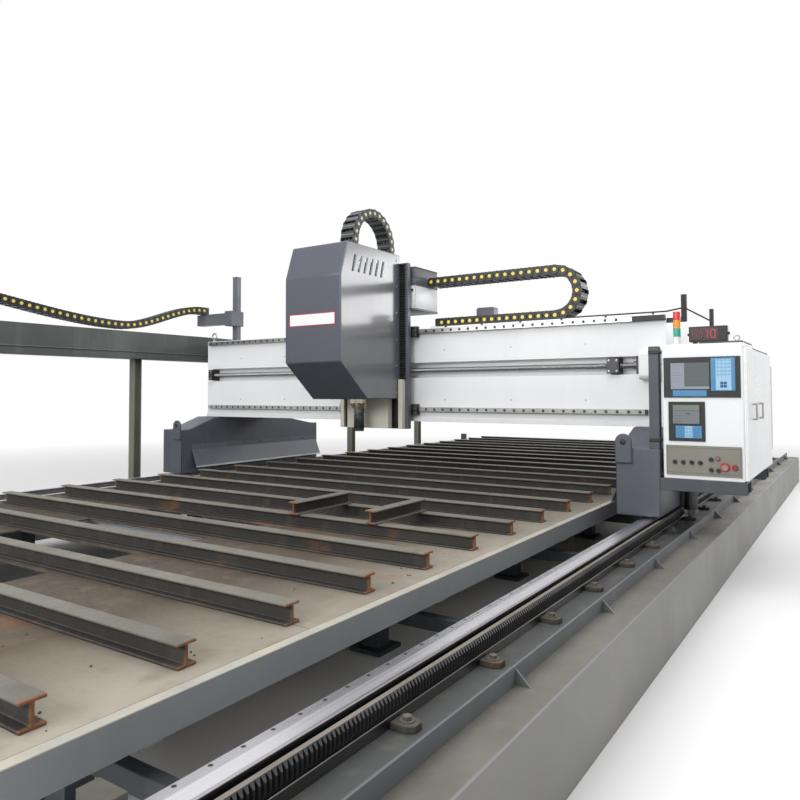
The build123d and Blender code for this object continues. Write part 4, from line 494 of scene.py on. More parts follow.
nodeFinish = {
    "bed_beams": bedPaint, "rails": railSteel, "rail_clamps": clampSteel, "side_trough": bedPaint,
    "table_frame": tablePaint, "deck_plates": deckSteel, "table_legs": legPaint, "slats": slatSteel,
    "chain_trough": greenPaint, "trough_columns": columnPaint, "rack_bars": darkSteel,
    "truck_right": truckPaint, "truck_left": truckPaint, "chip_guards": guardPaint, "drive_units": darkSteel,
    "cross_beam": beamPaint, "beam_ways": waySteel, "screw_supports": darkSteel,
    "screw_motor_cover": beamPaint, "hose_post": slatePaint, "switch_box": slatePaint,
    "corner_post": slatePaint, "hose_lines": hoseRubber,
    "cabinet": whitePaint, "cabinet_stand": standPaint, "cabinet_drives": zincSteel,
    "cabinet_door_front": whitePaint, "cabinet_door_rear": whitePaint, "operator_panels": panelPaint,
    "current_meter": blackPlastic, "tower_light": whitePaint, "eye_bolts": zincSteel,
    "carriage_plate": slatePaint, "carriage_blocks": zincSteel, "head_guides": waySteel,
    "chain_shelf": slatePaint, "head_slide": creamPaint, "headstock": darkSteel, "hood": hoodPaint,
    "spindle": brightSteel, "vertical_screw": feedThread, "cross_screw": crossThread,
    "gantry_chain": chainPlastic, "cross_chain": chainPlastic, "head_chain": chainPlastic,
    "emergency_stop": redPlastic, "red_button": redDark,
    "pinion_right": zincSteel, "pinion_left": zincSteel,
}
for side in ("right", "left"):
    for end in ("front", "rear"):
        nodeFinish[f"wheel_{side}_{end}"] = railSteel
for number in (1, 2, 3, 4):
    nodeFinish[f"selector_{number}"] = blackPlastic
for number in (1, 2, 3):
    nodeFinish[f"push_button_{number}"] = blackPlastic
for nodeName, finish in nodeFinish.items():
    for materialSlot in frame["nodes"][nodeName].material_slots:
        materialSlot.material = finish
print("nodes without a finish:", sorted(set(frame["nodes"]) - set(nodeFinish)))


# mesh helpers

quarterTurn = math.radians(90)
axisTurns = {
    "X": Matrix.Rotation(quarterTurn, 4, "Y"), "Y": Matrix.Rotation(quarterTurn, 4, "X"), "Z": Matrix()}
boxFaces = ((0, 1, 3, 2), (4, 6, 7, 5), (0, 4, 5, 1), (2, 3, 7, 6), (0, 2, 6, 4), (1, 5, 7, 3))
smoothAngle = math.radians(32)


def finishMesh(name, bm, materials, smooth=True):
    mesh = bpy.data.meshes.new(name)
    bm.to_mesh(mesh)
    bm.free()
    for material in materials:
        mesh.materials.append(material)
    if smooth:
        mesh.polygons.foreach_set("use_smooth", [True] * len(mesh.polygons))
        mesh.set_sharp_from_angle(angle=smoothAngle)
    return mesh


def addPiece(name, mesh, body, replaced=()):
    piece = bpy.data.objects.new(name, mesh)
    scene.collection.objects.link(piece)
    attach(piece, body)
    if replaced:
        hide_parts(*replaced)
    return piece


def addBox(bm, low, high, index=0):
    xs, ys, zs = zip(low, high)
    corners = [bm.verts.new((x, y, z)) for x in xs for y in ys for z in zs]
    for face in boxFaces:
        bm.faces.new([corners[corner] for corner in face]).material_index = index


def addCircle(bm, radius, height, centre, axis, sides):
    circle = []
    for side in range(sides):
        angle = math.tau * side / sides
        spot = Vector((radius * math.cos(angle), radius * math.sin(angle), height))
        circle.append(bm.verts.new(axisTurns[axis] @ spot + Vector(centre)))
    return circle


def bridge(bm, near, far, index=0):
    for side in range(len(near)):
        after = (side + 1) % len(near)
        bm.faces.new((near[side], near[after], far[after], far[side])).material_index = index


def addLathe(bm, profile, centre, axis="Z", sides=24, index=0):
    rings = [addCircle(bm, radius, height, centre, axis, sides) for radius, height in profile]
    for lower, upper in zip(rings, rings[1:]):
        bridge(bm, lower, upper, index)
    bm.faces.new(list(reversed(rings[0]))).material_index = index
    bm.faces.new(rings[-1]).material_index = index


def addRing(bm, centre, inner, outer, height, axis, sides, index):
    section = ((inner, 0.0), (outer, 0.0), (outer, height), (inner, height))
    rings = [addCircle(bm, radius, level, centre, axis, sides) for radius, level in section]
    for lower, upper in zip(rings, rings[1:] + rings[:1]):
        bridge(bm, lower, upper, index)


def tidyNormals(bm):
    bmesh.ops.recalc_face_normals(bm, faces=bm.faces[:])


def bevelEdges(bm, edges, width, clamp=False):
    bmesh.ops.bevel(
        bm, geom=edges, offset=width, offset_type="OFFSET", segments=2, profile=0.5, affect="EDGES",
        clamp_overlap=clamp)


# rounded copies of the CAD nodes

softening = {"merge": 0.00002, "flat": 0.6, "corner": 15.0, "room": 1.1, "broad": 1.5, "sharp": 50.0}


def breadth(face):
    return 2.0 * face.calc_area() / max(face.calc_perimeter(), 1e-6)


def softened(nodeName, width):
    source = frame["nodes"][nodeName]
    bm = bmesh.new()
    bm.from_mesh(source.data)
    bmesh.ops.remove_doubles(bm, verts=bm.verts[:], dist=softening["merge"])
    bmesh.ops.dissolve_limit(
        bm, angle_limit=math.radians(softening["flat"]), verts=bm.verts[:], edges=bm.edges[:])
    chosen = []
    for edge in bm.edges:
        if len(edge.link_faces) == 2 and edge.calc_face_angle(0.0) > math.radians(softening["corner"]):
            if min(breadth(face) for face in edge.link_faces) > width * softening["room"]:
                chosen.append(edge)
    if chosen:
        bevelEdges(bm, chosen, width, clamp=True)
    bm.faces.index_update()
    broad = [face.index for face in bm.faces if breadth(face) > softening["broad"] * width]
    mesh = finishMesh(nodeName + "Form", bm, [nodeFinish[nodeName]])
    mesh.set_sharp_from_angle(angle=math.radians(softening["sharp"]))
    for index in broad:  # flat faces reflect as flat sheet
        mesh.polygons[index].use_smooth = False
    return addPiece(nodeName + "Form", mesh, source["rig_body"], (nodeName,))


# geometry node trees

def growTree(name, inputs):
    given = [("Geometry", "NodeSocketGeometry", None)] + inputs
    tree, source, result = newGroup(name, "GeometryNodeTree", given, [("Geometry", "NodeSocketGeometry")])
    return tree, source.outputs, result.inputs["Geometry"]


def joined(tree, *sockets):
    node = addNode(tree, "GeometryNodeJoinGeometry")
    for socket in sockets:
        tree.links.new(socket, node.inputs[0])
    return node.outputs[0]


def finishBranch(tree, geometry, material):
    real = addNode(tree, "GeometryNodeRealizeInstances", {0: geometry}).outputs[0]
    return addNode(tree, "GeometryNodeSetMaterial", {"Geometry": real, "Material": material}).outputs[0]


def rodMesh(tree, radius, depth, sides):
    inputs = {"Vertices": sides, "Radius": radius, "Depth": depth}
    return addNode(tree, "GeometryNodeMeshCylinder", inputs, fill_type="NGON").outputs["Mesh"]


def cubeMesh(tree, size):
    return addNode(tree, "GeometryNodeMeshCube", {"Size": size}).outputs[0]


def pointRow(tree, count, start, step):
    inputs = {"Count": count, "Start Location": start, "Offset": step}
    return addNode(tree, "GeometryNodeMeshLine", inputs, mode="OFFSET").outputs[0]


def copies(tree, points, instance, **inputs):
    given = {"Points": points, "Instance": instance, **inputs}
    return addNode(tree, "GeometryNodeInstanceOnPoints", given).outputs[0]


def shifted(tree, geometry, offset=(0.0, 0.0, 0.0), turn=(0.0, 0.0, 0.0)):
    inputs = {"Geometry": geometry, "Translation": offset, "Rotation": turn}
    return addNode(tree, "GeometryNodeTransform", inputs).outputs[0]


def combined(tree, x=0.0, y=0.0, z=0.0):
    return addNode(tree, "ShaderNodeCombineXYZ", {0: x, 1: y, 2: z}).outputs[0]


def share(tree, value, factor):
    return calc(tree, "MULTIPLY", value, factor)


def makeBoltRow():
    tree, given, out = growTree("boltRow", [
        ("Start", "NodeSocketVector", None), ("Step", "NodeSocketVector", None),
        ("Count", "NodeSocketInt", 4), ("Facing", "NodeSocketVector", None),
        ("Head Radius", "NodeSocketFloat", 0.014), ("Head Height", "NodeSocketFloat", 0.01),
        ("Washer Radius", "NodeSocketFloat", 0.02), ("Washer Height", "NodeSocketFloat", 0.003),
        ("Material", "NodeSocketMaterial", None)])
    line = pointRow(tree, given["Count"], given["Start"], given["Step"])
    washer = rodMesh(tree, given["Washer Radius"], given["Washer Height"], 12)
    washer = shifted(tree, washer, combined(tree, z=share(tree, given["Washer Height"], 0.5)))
    headMiddle = calc(tree, "ADD", share(tree, given["Head Height"], 0.5), given["Washer Height"])
    head = rodMesh(tree, given["Head Radius"], given["Head Height"], 6)
    head = shifted(tree, head, combined(tree, z=headMiddle))
    bolts = copies(tree, line, joined(tree, washer, head), Rotation=given["Facing"])
    tree.links.new(finishBranch(tree, bolts, given["Material"]), out)
    return tree


toothShares = {"tip": 0.32, "root": 0.707}  # corner radii of a square tooth, as shares of its width


def makeRackRow():
    tree, given, out = growTree("rackRow", [
        ("Start", "NodeSocketVector", None), ("Pitch", "NodeSocketFloat", 0.02),
        ("Count", "NodeSocketInt", 10), ("Root Width", "NodeSocketFloat", 0.015),
        ("Depth", "NodeSocketFloat", 0.012), ("Height", "NodeSocketFloat", 0.06),
        ("Turn", "NodeSocketVector", None), ("Material", "NodeSocketMaterial", None)])
    line = pointRow(tree, given["Count"], given["Start"], combined(tree, y=given["Pitch"]))
    tooth = addNode(tree, "GeometryNodeMeshCone", {
        "Vertices": 4, "Radius Top": share(tree, given["Root Width"], toothShares["tip"]),
        "Radius Bottom": share(tree, given["Root Width"], toothShares["root"]),
        "Depth": given["Depth"]}).outputs["Mesh"]
    squared = shifted(tree, tooth, turn=(0.0, 0.0, quarterTurn / 2.0))
    stretchBy = calc(tree, "DIVIDE", given["Height"], given["Root Width"])
    tall = addNode(tree, "GeometryNodeTransform", {
        "Geometry": squared, "Scale": combined(tree, stretchBy, 1.0, 1.0)}).outputs[0]
    teeth = copies(tree, line, tall, Rotation=given["Turn"])
    tree.links.new(finishBranch(tree, teeth, given["Material"]), out)
    return tree


linkShares = {  # shares of a link's pitch, width, height or plate
    "boss": 0.49, "waist": 0.84, "across": 0.90, "pinDepth": 0.7,
    "cable": 0.2, "cableSpots": (-0.27, 0.0, 0.27),
    "crossPlate": {"long": 0.72, "thick": 0.10, "up": 0.41},
    "bar": {"long": 0.13, "thick": 0.05, "up": 0.455}}


def chainPoints(tree, given):  # one point for each link, turned along the route
    route = addNode(tree, "GeometryNodeMeshToCurve", {0: given["Geometry"]}).outputs[0]
    along = calc(tree, "MULTIPLY", addNode(tree, "GeometryNodeInputIndex").outputs[0], given["Pitch"])
    middle = calc(tree, "ADD", along, share(tree, given["Pitch"], 0.5))
    spot = addNode(tree, "GeometryNodeSampleCurve", {"Curves": route, "Length": along}, mode="LENGTH")
    chord = addNode(tree, "GeometryNodeSampleCurve", {"Curves": route, "Length": middle}, mode="LENGTH")
    points = addNode(tree, "GeometryNodePoints", {
        "Count": given["Count"], "Position": spot.outputs["Position"]}).outputs[0]
    lie = addNode(tree, "FunctionNodeAlignRotationToVector", {
        "Vector": chord.outputs["Tangent"]}, axis="X", pivot_axis="Y").outputs[0]
    return points, lie


def makeCableChain():
    tree, given, out = growTree("cableChain", [
        ("Count", "NodeSocketInt", 20), ("Pitch", "NodeSocketFloat", 0.09),
        ("Width", "NodeSocketFloat", 0.15), ("Height", "NodeSocketFloat", 0.1),
        ("Plate", "NodeSocketFloat", 0.008), ("Pin Radius", "NodeSocketFloat", 0.018),
        ("Turn", "NodeSocketVector", None), ("Place", "NodeSocketVector", None),
        ("Link Material", "NodeSocketMaterial", None), ("Pin Material", "NodeSocketMaterial", None),
        ("Bar Material", "NodeSocketMaterial", None)])
    points, lie = chainPoints(tree, given)
    pitch, width, height, plate = (given[label] for label in ("Pitch", "Width", "Height", "Plate"))
    half = share(tree, pitch, 0.5)
    side = calc(tree, "SUBTRACT", share(tree, width, 0.5), plate)
    inset = calc(tree, "SUBTRACT", side, plate)
    outer = calc(tree, "ADD", side, share(tree, plate, 0.5))
    sideways = (quarterTurn, 0.0, 0.0)
    links, pins, bars = [], [], []
    for sign in (-1.0, 1.0):  # rounded plate, strap to the next link and pin on each side
        boss = rodMesh(tree, share(tree, height, linkShares["boss"]), plate, 12)
        links.append(shifted(tree, boss, combined(tree, y=share(tree, side, sign)), sideways))
        strap = cubeMesh(tree, combined(tree, pitch, plate, share(tree, height, linkShares["waist"])))
        links.append(shifted(tree, strap, combined(tree, half, share(tree, inset, sign))))
        pin = rodMesh(tree, given["Pin Radius"], share(tree, plate, linkShares["pinDepth"]), 12)
        pins.append(shifted(tree, pin, combined(tree, y=share(tree, outer, sign)), sideways))
    across = share(tree, width, linkShares["across"])
    for sign in (-1.0, 1.0):
        for shapes, kind in ((links, linkShares["crossPlate"]), (bars, linkShares["bar"])):
            long, thick = share(tree, pitch, kind["long"]), share(tree, height, kind["thick"])
            up = share(tree, height, kind["up"] * sign)
            sheet = cubeMesh(tree, combined(tree, long, across, thick))
            shapes.append(shifted(tree, sheet, combined(tree, half, 0.0, up)))
    for part in linkShares["cableSpots"]:
        cable = rodMesh(tree, share(tree, height, linkShares["cable"]), pitch, 8)
        lay = combined(tree, half, share(tree, width, part))
        links.append(shifted(tree, cable, lay, (0.0, quarterTurn, 0.0)))
    branches = []
    for shapes, label in ((links, "Link Material"), (pins, "Pin Material"), (bars, "Bar Material")):
        spots = copies(tree, points, joined(tree, *shapes), Rotation=lie)
        turned = shifted(tree, spots, given["Place"], given["Turn"])
        branches.append(finishBranch(tree, turned, given[label]))
    tree.links.new(joined(tree, *branches), out)
    return tree


slagShape = {"mostTurn": (6.2, 6.2, 6.2), "flatness": 0.6}


def makeSlagScatter():
    tree, given, out = growTree("slagScatter", [
        ("Density", "NodeSocketFloat", 8.0), ("Seed", "NodeSocketInt", 3),
        ("Smallest", "NodeSocketFloat", 0.003), ("Largest", "NodeSocketFloat", 0.016),
        ("Material", "NodeSocketMaterial", None)])
    spots = addNode(tree, "GeometryNodeDistributePointsOnFaces", {
        "Mesh": given["Geometry"], "Density": given["Density"], "Seed": given["Seed"]}).outputs["Points"]
    bit = addNode(tree, "GeometryNodeMeshIcoSphere", {"Radius": 1.0, "Subdivisions": 1}).outputs["Mesh"]
    sizeRange = {2: given["Smallest"], 3: given["Largest"], "Seed": given["Seed"]}
    sizes = addNode(tree, "FunctionNodeRandomValue", sizeRange, data_type="FLOAT").outputs[1]
    turnRange = {0: (0.0, 0.0, 0.0), 1: slagShape["mostTurn"], "Seed": given["Seed"]}
    turns = addNode(tree, "FunctionNodeRandomValue", turnRange, data_type="FLOAT_VECTOR").outputs[0]
    flat = combined(tree, sizes, sizes, share(tree, sizes, slagShape["flatness"]))
    laid = copies(tree, spots, bit, Rotation=turns, Scale=flat)
    tree.links.new(finishBranch(tree, laid, given["Material"]), out)
    return tree


def makeKeyField():
    tree, given, out = growTree("keyField", [
        ("Columns", "NodeSocketInt", 4), ("Rows", "NodeSocketInt", 3),
        ("Field", "NodeSocketVector", (0.1, 0.1, 0.0)), ("Key", "NodeSocketVector", (0.02, 0.02, 0.004)),
        ("Place", "NodeSocketVector", None), ("Turn", "NodeSocketVector", None),
        ("Material", "NodeSocketMaterial", None)])
    field = axes(tree, given["Field"])
    grid = addNode(tree, "GeometryNodeMeshGrid", {
        "Size X": field["X"], "Size Y": field["Y"],
        "Vertices X": given["Columns"], "Vertices Y": given["Rows"]}).outputs["Mesh"]
    keys = copies(tree, grid, cubeMesh(tree, given["Key"]))
    turned = shifted(tree, keys, given["Place"], given["Turn"])
    tree.links.new(finishBranch(tree, turned, given["Material"]), out)
    return tree


boltRow = makeBoltRow()
rackRow = makeRackRow()
cableChain = makeCableChain()
slagScatter = makeSlagScatter()
keyField = makeKeyField()


def grow(tree, values, verts=(), edges=(), faces=()):
    mesh = bpy.data.meshes.new(tree.name + "Seed")
    mesh.from_pydata(verts, edges, faces)
    carrier = bpy.data.objects.new(tree.name + "Carrier", mesh)
    scene.collection.objects.link(carrier)
    modifier = carrier.modifiers.new("grow", "NODES")
    modifier.node_group = tree
    sockets = {item.name: item.identifier for item in tree.interface.items_tree if item.in_out == "INPUT"}
    for label, value in values.items():
        modifier[sockets[label]] = value
    grown = bpy.data.meshes.new_from_object(carrier.evaluated_get(bpy.context.evaluated_depsgraph_get()))
    bpy.data.objects.remove(carrier)
    return grown


def gather(name, meshes):
    materials = []
    bm = bmesh.new()
    for mesh in meshes:
        lookup = []
        for material in mesh.materials:
            if material not in materials:
                materials.append(material)
            lookup.append(materials.index(material))
        first = len(bm.faces)
        bm.from_mesh(mesh)
        bm.faces.ensure_lookup_table()
        for face in bm.faces[first:]:
            face.material_index = lookup[min(face.material_index, len(lookup) - 1)]
    return finishMesh(name, bm, materials, smooth=False)


# cable chains, three stretches each

linkSizes = {"pitch": 0.0875, "height": 0.100, "plate": 0.0075, "pinRadius": 0.0185}
alongX, alongY = (0.0, 0.0, 0.0), (0.0, 0.0, quarterTurn)  # where a route's own X lies
farOff = 50.0  # far-off ends given to the bend stretches


def arcPoints(centre, radius, first, last, count=28):
    points = []
    for index in range(count + 1):
        angle = math.radians(first + (last - first) * index / count)
        points.append((centre[0] + radius * math.cos(angle), centre[1] + radius * math.sin(angle)))
    return points


def easePoints(a, b, count=24):
    points = []
    for index in range(count + 1):
        t = index / count
        points.append((a[0] + (b[0] - a[0]) * t, a[1] + (b[1] - a[1]) * t * t * (3.0 - 2.0 * t)))
    return points


def chainStretch(name, chain, route, axis, first, last):
    length = sum(math.dist(a, b) for a, b in zip(route, route[1:]))
    count = max(2, round(length / linkSizes["pitch"]))
    verts = [(u, 0.0, v) for u, v in route]
    edges = [(index, index + 1) for index in range(len(route) - 1)]
    mesh = grow(cableChain, {
        "Count": count, "Pitch": length / count, "Width": chain["width"], "Height": linkSizes["height"],
        "Plate": linkSizes["plate"], "Pin Radius": linkSizes["pinRadius"], "Turn": chain["turn"],
        "Place": chain["place"], "Link Material": chain["link"], "Pin Material": chain["pin"],
        "Bar Material": barPlastic}, verts, edges)
    piece = bpy.data.objects.new(name, gather(name, [mesh]))
    scene.collection.objects.link(piece)
    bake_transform(piece)
    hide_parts(chain["node"])


longChain = {
    "node": "gantry_chain", "bodies": ("bed", "gantry"), "link": chainPlastic, "pin": yellowPlastic,
    "width": 0.15, "turn": alongY, "place": (-3.22, 0.0, 0.0), "bendY": -4.6, "low": 1.9863, "radius": 0.32,
    "anchorY": -0.345, "sag": (-1.97, 2.337), "riseY": -0.75, "endY": -0.63,
    "lowerBlend": (-0.3, -8.9), "upperBlend": (-8.61, -0.59)}
crossChain = {
    "node": "cross_chain", "bodies": ("gantry", "carriage"), "link": chainPlastic, "pin": yellowPlastic,
    "width": 0.22, "turn": alongX, "place": (0.0, -0.55, 0.0), "bendX": 1.835, "low": 2.2573,
    "radius": 0.225, "startX": 0.425, "fixedX": 0.47, "upperBlend": (3.286, 0.384), "lowerBlend": (0.47, 3.2)}
headChain = {
    "node": "head_chain", "bodies": ("carriage", "head"), "link": linkGrey, "pin": palePlastic,
    "width": 0.18, "turn": alongY, "place": (-0.112, 0.0, 0.0), "archY": -1.08, "archZ": 3.1,
    "radius": 0.335, "frontFoot": 2.745, "backFoot": 2.445,
    "frontBlend": (3.476, 2.724), "backBlend": (2.424, 3.776)}


def buildLongChain():
    bend, low, radius = longChain["bendY"], longChain["low"], longChain["radius"]
    top, x = low + 2.0 * radius, longChain["place"][0]
    lower = [(longChain["anchorY"], low), (bend, low)]
    upper = easePoints((bend, top), longChain["sag"])
    upper += easePoints(longChain["sag"], (longChain["riseY"], top))[1:] + [(longChain["endY"], top)]
    chainStretch("gantryChainLower", longChain, lower, "Y", *longChain["lowerBlend"])
    arc = arcPoints((bend, low + radius), radius, 270, 90)
    chainStretch("gantryChainBend", longChain, arc, "X", x - farOff, x + farOff)
    chainStretch("gantryChainUpper", longChain, upper, "Y", *longChain["upperBlend"])


def buildCrossChain():
    bend, low, radius = crossChain["bendX"], crossChain["low"], crossChain["radius"]
    top, y = low + 2.0 * radius, crossChain["place"][1]
    upper = [(crossChain["startX"], top), (bend, top)]
    chainStretch("crossChainUpper", crossChain, upper, "X", *crossChain["upperBlend"])
    arc = arcPoints((bend, low + radius), radius, 90, -90)
    chainStretch("crossChainBend", crossChain, arc, "Y", y - farOff, y + farOff)
    lower = [(bend, low), (crossChain["fixedX"], low)]
    chainStretch("crossChainLower", crossChain, lower, "X", *crossChain["lowerBlend"])


def buildHeadChain():
    y, z, radius = headChain["archY"], headChain["archZ"], headChain["radius"]
    x = headChain["place"][0]
    front = [(y - radius, headChain["frontFoot"]), (y - radius, z)]
    chainStretch("headChainFront", headChain, front, "Z", *headChain["frontBlend"])
    arc = arcPoints((y, z), radius, 180, 0)
    chainStretch("headChainArch", headChain, arc, "X", x - farOff, x + farOff)
    back = [(y + radius, z), (y + radius, headChain["backFoot"])]
    chainStretch("headChainBack", headChain, back, "Z", *headChain["backBlend"])


buildLongChain()
buildCrossChain()
buildHeadChain()
print("cable chains made")


# toothed racks along both rails

rackSizes = {
    "inner": 2.975, "outer": 3.005, "low": 0.420, "height": 0.068, "cap": 0.004, "near": -6.30, "far": 6.30,
    "pitch": 0.02094, "toothDepth": 0.011, "toothRoot": 0.0165, "firstTooth": 0.02}


def buildRacks():
    near, far, low, height = (rackSizes[key] for key in ("near", "far", "low", "height"))
    high, root = low + height, rackSizes["outer"] - rackSizes["toothDepth"]
    count = int((far - near) / rackSizes["pitch"])
    bm = bmesh.new()
    for sign in (-1.0, 1.0):
        left, right = sorted((sign * rackSizes["inner"], sign * root))
        addBox(bm, (left, near, low), (right, far, high - rackSizes["cap"]), 0)
        addBox(bm, (left, near, high - rackSizes["cap"]), (right, far, high), 1)
    rows = [finishMesh("rackBars", bm, [darkSteel, rackTop], smooth=False)]
    for sign in (-1.0, 1.0):
        rows.append(grow(rackRow, {
            "Start": (sign * root, near + rackSizes["firstTooth"], low + height / 2.0),
            "Pitch": rackSizes["pitch"], "Count": count - 1, "Root Width": rackSizes["toothRoot"],
            "Depth": rackSizes["toothDepth"], "Height": height,
            "Turn": (0.0, quarterTurn * sign, 0.0), "Material": darkSteel}))
    addPiece("railRacks", gather("railRacks", rows), "bed", ("rack_bars",))


buildRacks()
print("racks made")


# formed copies of the castings and sheets, with each one's edge radius

edgeRounds = {
    "cabinet": 0.010, "truck_right": 0.010, "truck_left": 0.010, "cross_beam": 0.005, "carriage_plate": 0.006,
    "headstock": 0.008, "head_slide": 0.005, "chain_trough": 0.004, "side_trough": 0.004, "bed_beams": 0.010,
    "table_frame": 0.004, "slats": 0.004, "trough_columns": 0.004, "switch_box": 0.008, "hose_post": 0.006,
    "screw_supports": 0.004, "rail_clamps": 0.003, "cabinet_stand": 0.004, "rails": 0.003,
    "current_meter": 0.004, "screw_motor_cover": 0.004, "deck_plates": 0.002, "chip_guards": 0.001,
    "drive_units": 0.004, "table_legs": 0.004,
}
for nodeName, width in edgeRounds.items():
    softened(nodeName, width)


def recoloured(nodeName, width, materials, choose):  # a formed copy whose faces differ in finish
    piece = softened(nodeName, width)
    piece.data.materials.clear()
    for material in materials:
        piece.data.materials.append(material)
    for face in piece.data.polygons:
        face.material_index = choose(face.center)


recolourLimits = {
    "hoodLeft": -0.459, "hoodRight": 0.235, "stopPaintedHighlight": 0.0006, "guideMiddle": -0.112, "guideStrip": 0.3,
    "guideTop": 2.70, "screenFoot": 1.1, "lampFront": -1.5, "postSide": 2.9985, "postFront": -1.4815,
    "wayCap": 2.65, "doorPull": 3.634}
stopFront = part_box("emergency_stop")[0][1] + recolourLimits["stopPaintedHighlight"]


def hoodSlot(c):
    return 1 if c.x > recolourLimits["hoodRight"] or c.x < recolourLimits["hoodLeft"] else 0


def guideSlot(c):
    if abs(c.x - recolourLimits["guideMiddle"]) > recolourLimits["guideStrip"]:
        return 1
    return 2 if c.z > recolourLimits["guideTop"] else 0


def panelSlot(c):
    if c.z > recolourLimits["screenFoot"]:
        return 1
    return 2 if c.y < recolourLimits["lampFront"] else 0


def postSlot(c):
    return 1 if c.x > recolourLimits["postSide"] or c.y < recolourLimits["postFront"] else 0


def doorSlot(c):
    return 1 if c.x > recolourLimits["doorPull"] else 0


# the hood's side faces take the lighter, glossy copy of its paint: painted light on the sides
recoloured("hood", 0.012, [hoodPaint, hoodGlossLitSide], hoodSlot)
# the stop's front face is painted pale as a highlight on the red head
recoloured("emergency_stop", 0.002, [redPlastic, stopPaintedHighlight], lambda c: 1 if c.y < stopFront else 0)
recoloured("head_guides", 0.003, [waySteel, creamPaint, darkSteel], guideSlot)
recoloured("operator_panels", 0.003, [panelPaint, blackPlastic, lampRed], panelSlot)
recoloured("corner_post", 0.003, [standPaint, blackPlastic], postSlot)
recoloured("beam_ways", 0.002, [waySteel, hoseRubber], lambda c: 1 if c.x > recolourLimits["wayCap"] else 0)
for doorName in ("cabinet_door_front", "cabinet_door_rear"):
    recoloured(doorName, 0.004, [whitePaint, zincSteel], doorSlot)
print("formed copies made")


# fasteners in rows

upFacing, frontFacing = (0.0, 0.0, 0.0), (quarterTurn, 0.0, 0.0)
rightFacing, leftFacing = (0.0, quarterTurn, 0.0), (0.0, -quarterTurn, 0.0)


def boltPiece(name, body, rows, sizes, material):
    meshes = []
    for start, step, count, facing in rows:
        meshes.append(grow(boltRow, {
            "Start": start, "Step": step, "Count": count, "Facing": facing, "Material": material,
            "Head Radius": sizes["head"], "Head Height": sizes["height"],
            "Washer Radius": sizes["washer"], "Washer Height": sizes["sheet"]}))
    addPiece(name, gather(name, meshes), body)


wayBolts = {
    "head": 0.008, "height": 0.0012, "washer": 0.0145, "sheet": 0.0008,
    "firstX": -2.80, "y": -0.8952, "pitch": 0.1, "rows": ((1.323, 56), (2.148, 54))}
boltPiece("wayBolts", "gantry", [
    ((wayBolts["firstX"], wayBolts["y"], z), (wayBolts["pitch"], 0.0, 0.0), count, frontFacing)
    for z, count in wayBolts["rows"]], wayBolts, darkSteel)

clampBolts = {
    "head": 0.017, "height": 0.014, "washer": 0.026, "sheet": 0.004,
    "x": 3.05, "firstY": -5.85, "z": 0.404, "pitch": 0.65, "count": 19}
boltPiece("clampBolts", "bed", [
    ((sign * clampBolts["x"], clampBolts["firstY"], clampBolts["z"]), (0.0, clampBolts["pitch"], 0.0),
     clampBolts["count"], upFacing) for sign in (-1.0, 1.0)], clampBolts, boltSteel)

railBolts = {
    "head": 0.009, "height": 0.006, "washer": 0.014, "sheet": 0.002,
    "x": 2.9645, "firstY": -6.22, "z": 0.42, "pitch": 0.3, "count": 42}
boltPiece("railBolts", "bed", [
    ((sign * railBolts["x"], railBolts["firstY"], railBolts["z"]), (0.0, railBolts["pitch"], 0.0),
     railBolts["count"], upFacing) for sign in (-1.0, 1.0)], railBolts, darkSteel)

columnBolts = {
    "head": 0.017, "height": 0.018, "washer": 0.027, "sheet": 0.004,
    "x": -3.22, "firstY": -6.141, "z": 0.02, "pitch": 2.2, "columns": 6, "half": 0.1}


def buildColumnBolts():
    half, rows = columnBolts["half"], []
    for index in range(columnBolts["columns"]):
        y = columnBolts["firstY"] + columnBolts["pitch"] * index
        for dx in (-half, half):
            start = (columnBolts["x"] + dx, y - half, columnBolts["z"])
            rows.append((start, (0.0, 2.0 * half, 0.0), 2, upFacing))
    boltPiece("columnBolts", "bed", rows, columnBolts, zincSteel)


buildColumnBolts()

blockBolts = {
    "head": 0.007, "height": 0.008, "washer": 0.010, "sheet": 0.001,
    "y": -0.896, "z": 1.737, "half": 0.048, "blocks": ((2.43, 0.07), (-2.842, 0.034))}
boltPiece("bearingBolts", "gantry", [
    ((x, blockBolts["y"], blockBolts["z"] + dz), (step, 0.0, 0.0), 2, frontFacing)
    for x, step in blockBolts["blocks"] for dz in (-blockBolts["half"], blockBolts["half"])],
    blockBolts, zincSteel)

plateBolts = {
    "head": 0.009, "height": 0.006, "washer": 0.012, "sheet": 0.001,
    "xs": (0.322, -0.546), "y": -0.990, "firstZ": 1.21, "pitch": 0.23, "count": 8}
boltPiece("carriageBolts", "carriage", [
    ((x, plateBolts["y"], plateBolts["firstZ"]), (0.0, 0.0, plateBolts["pitch"]),
     plateBolts["count"], frontFacing) for x in plateBolts["xs"]], plateBolts, slatePaint)

beamPlugs = {
    "head": 0.0055, "height": 0.001, "washer": 0.009, "sheet": 0.001,
    "firstX": -2.30, "y": -0.8500, "zs": (1.425, 1.945), "pitch": 0.75, "count": 7}
boltPiece("beamPlugs", "gantry", [
    ((beamPlugs["firstX"], beamPlugs["y"], z), (beamPlugs["pitch"], 0.0, 0.0),
     beamPlugs["count"], frontFacing) for z in beamPlugs["zs"]], beamPlugs, zincSteel)

truckBolts = {
    "head": 0.012, "height": 0.009, "washer": 0.018, "sheet": 0.003,
    "x": 2.655, "firstY": -1.30, "z": 0.83, "pitch": 0.29, "count": 8}
boltPiece("truckBolts", "gantry", [
    ((sign * truckBolts["x"], truckBolts["firstY"], truckBolts["z"]), (0.0, truckBolts["pitch"], 0.0),
     truckBolts["count"], facing) for sign, facing in ((-1.0, rightFacing), (1.0, leftFacing))],
    truckBolts, slatePaint)

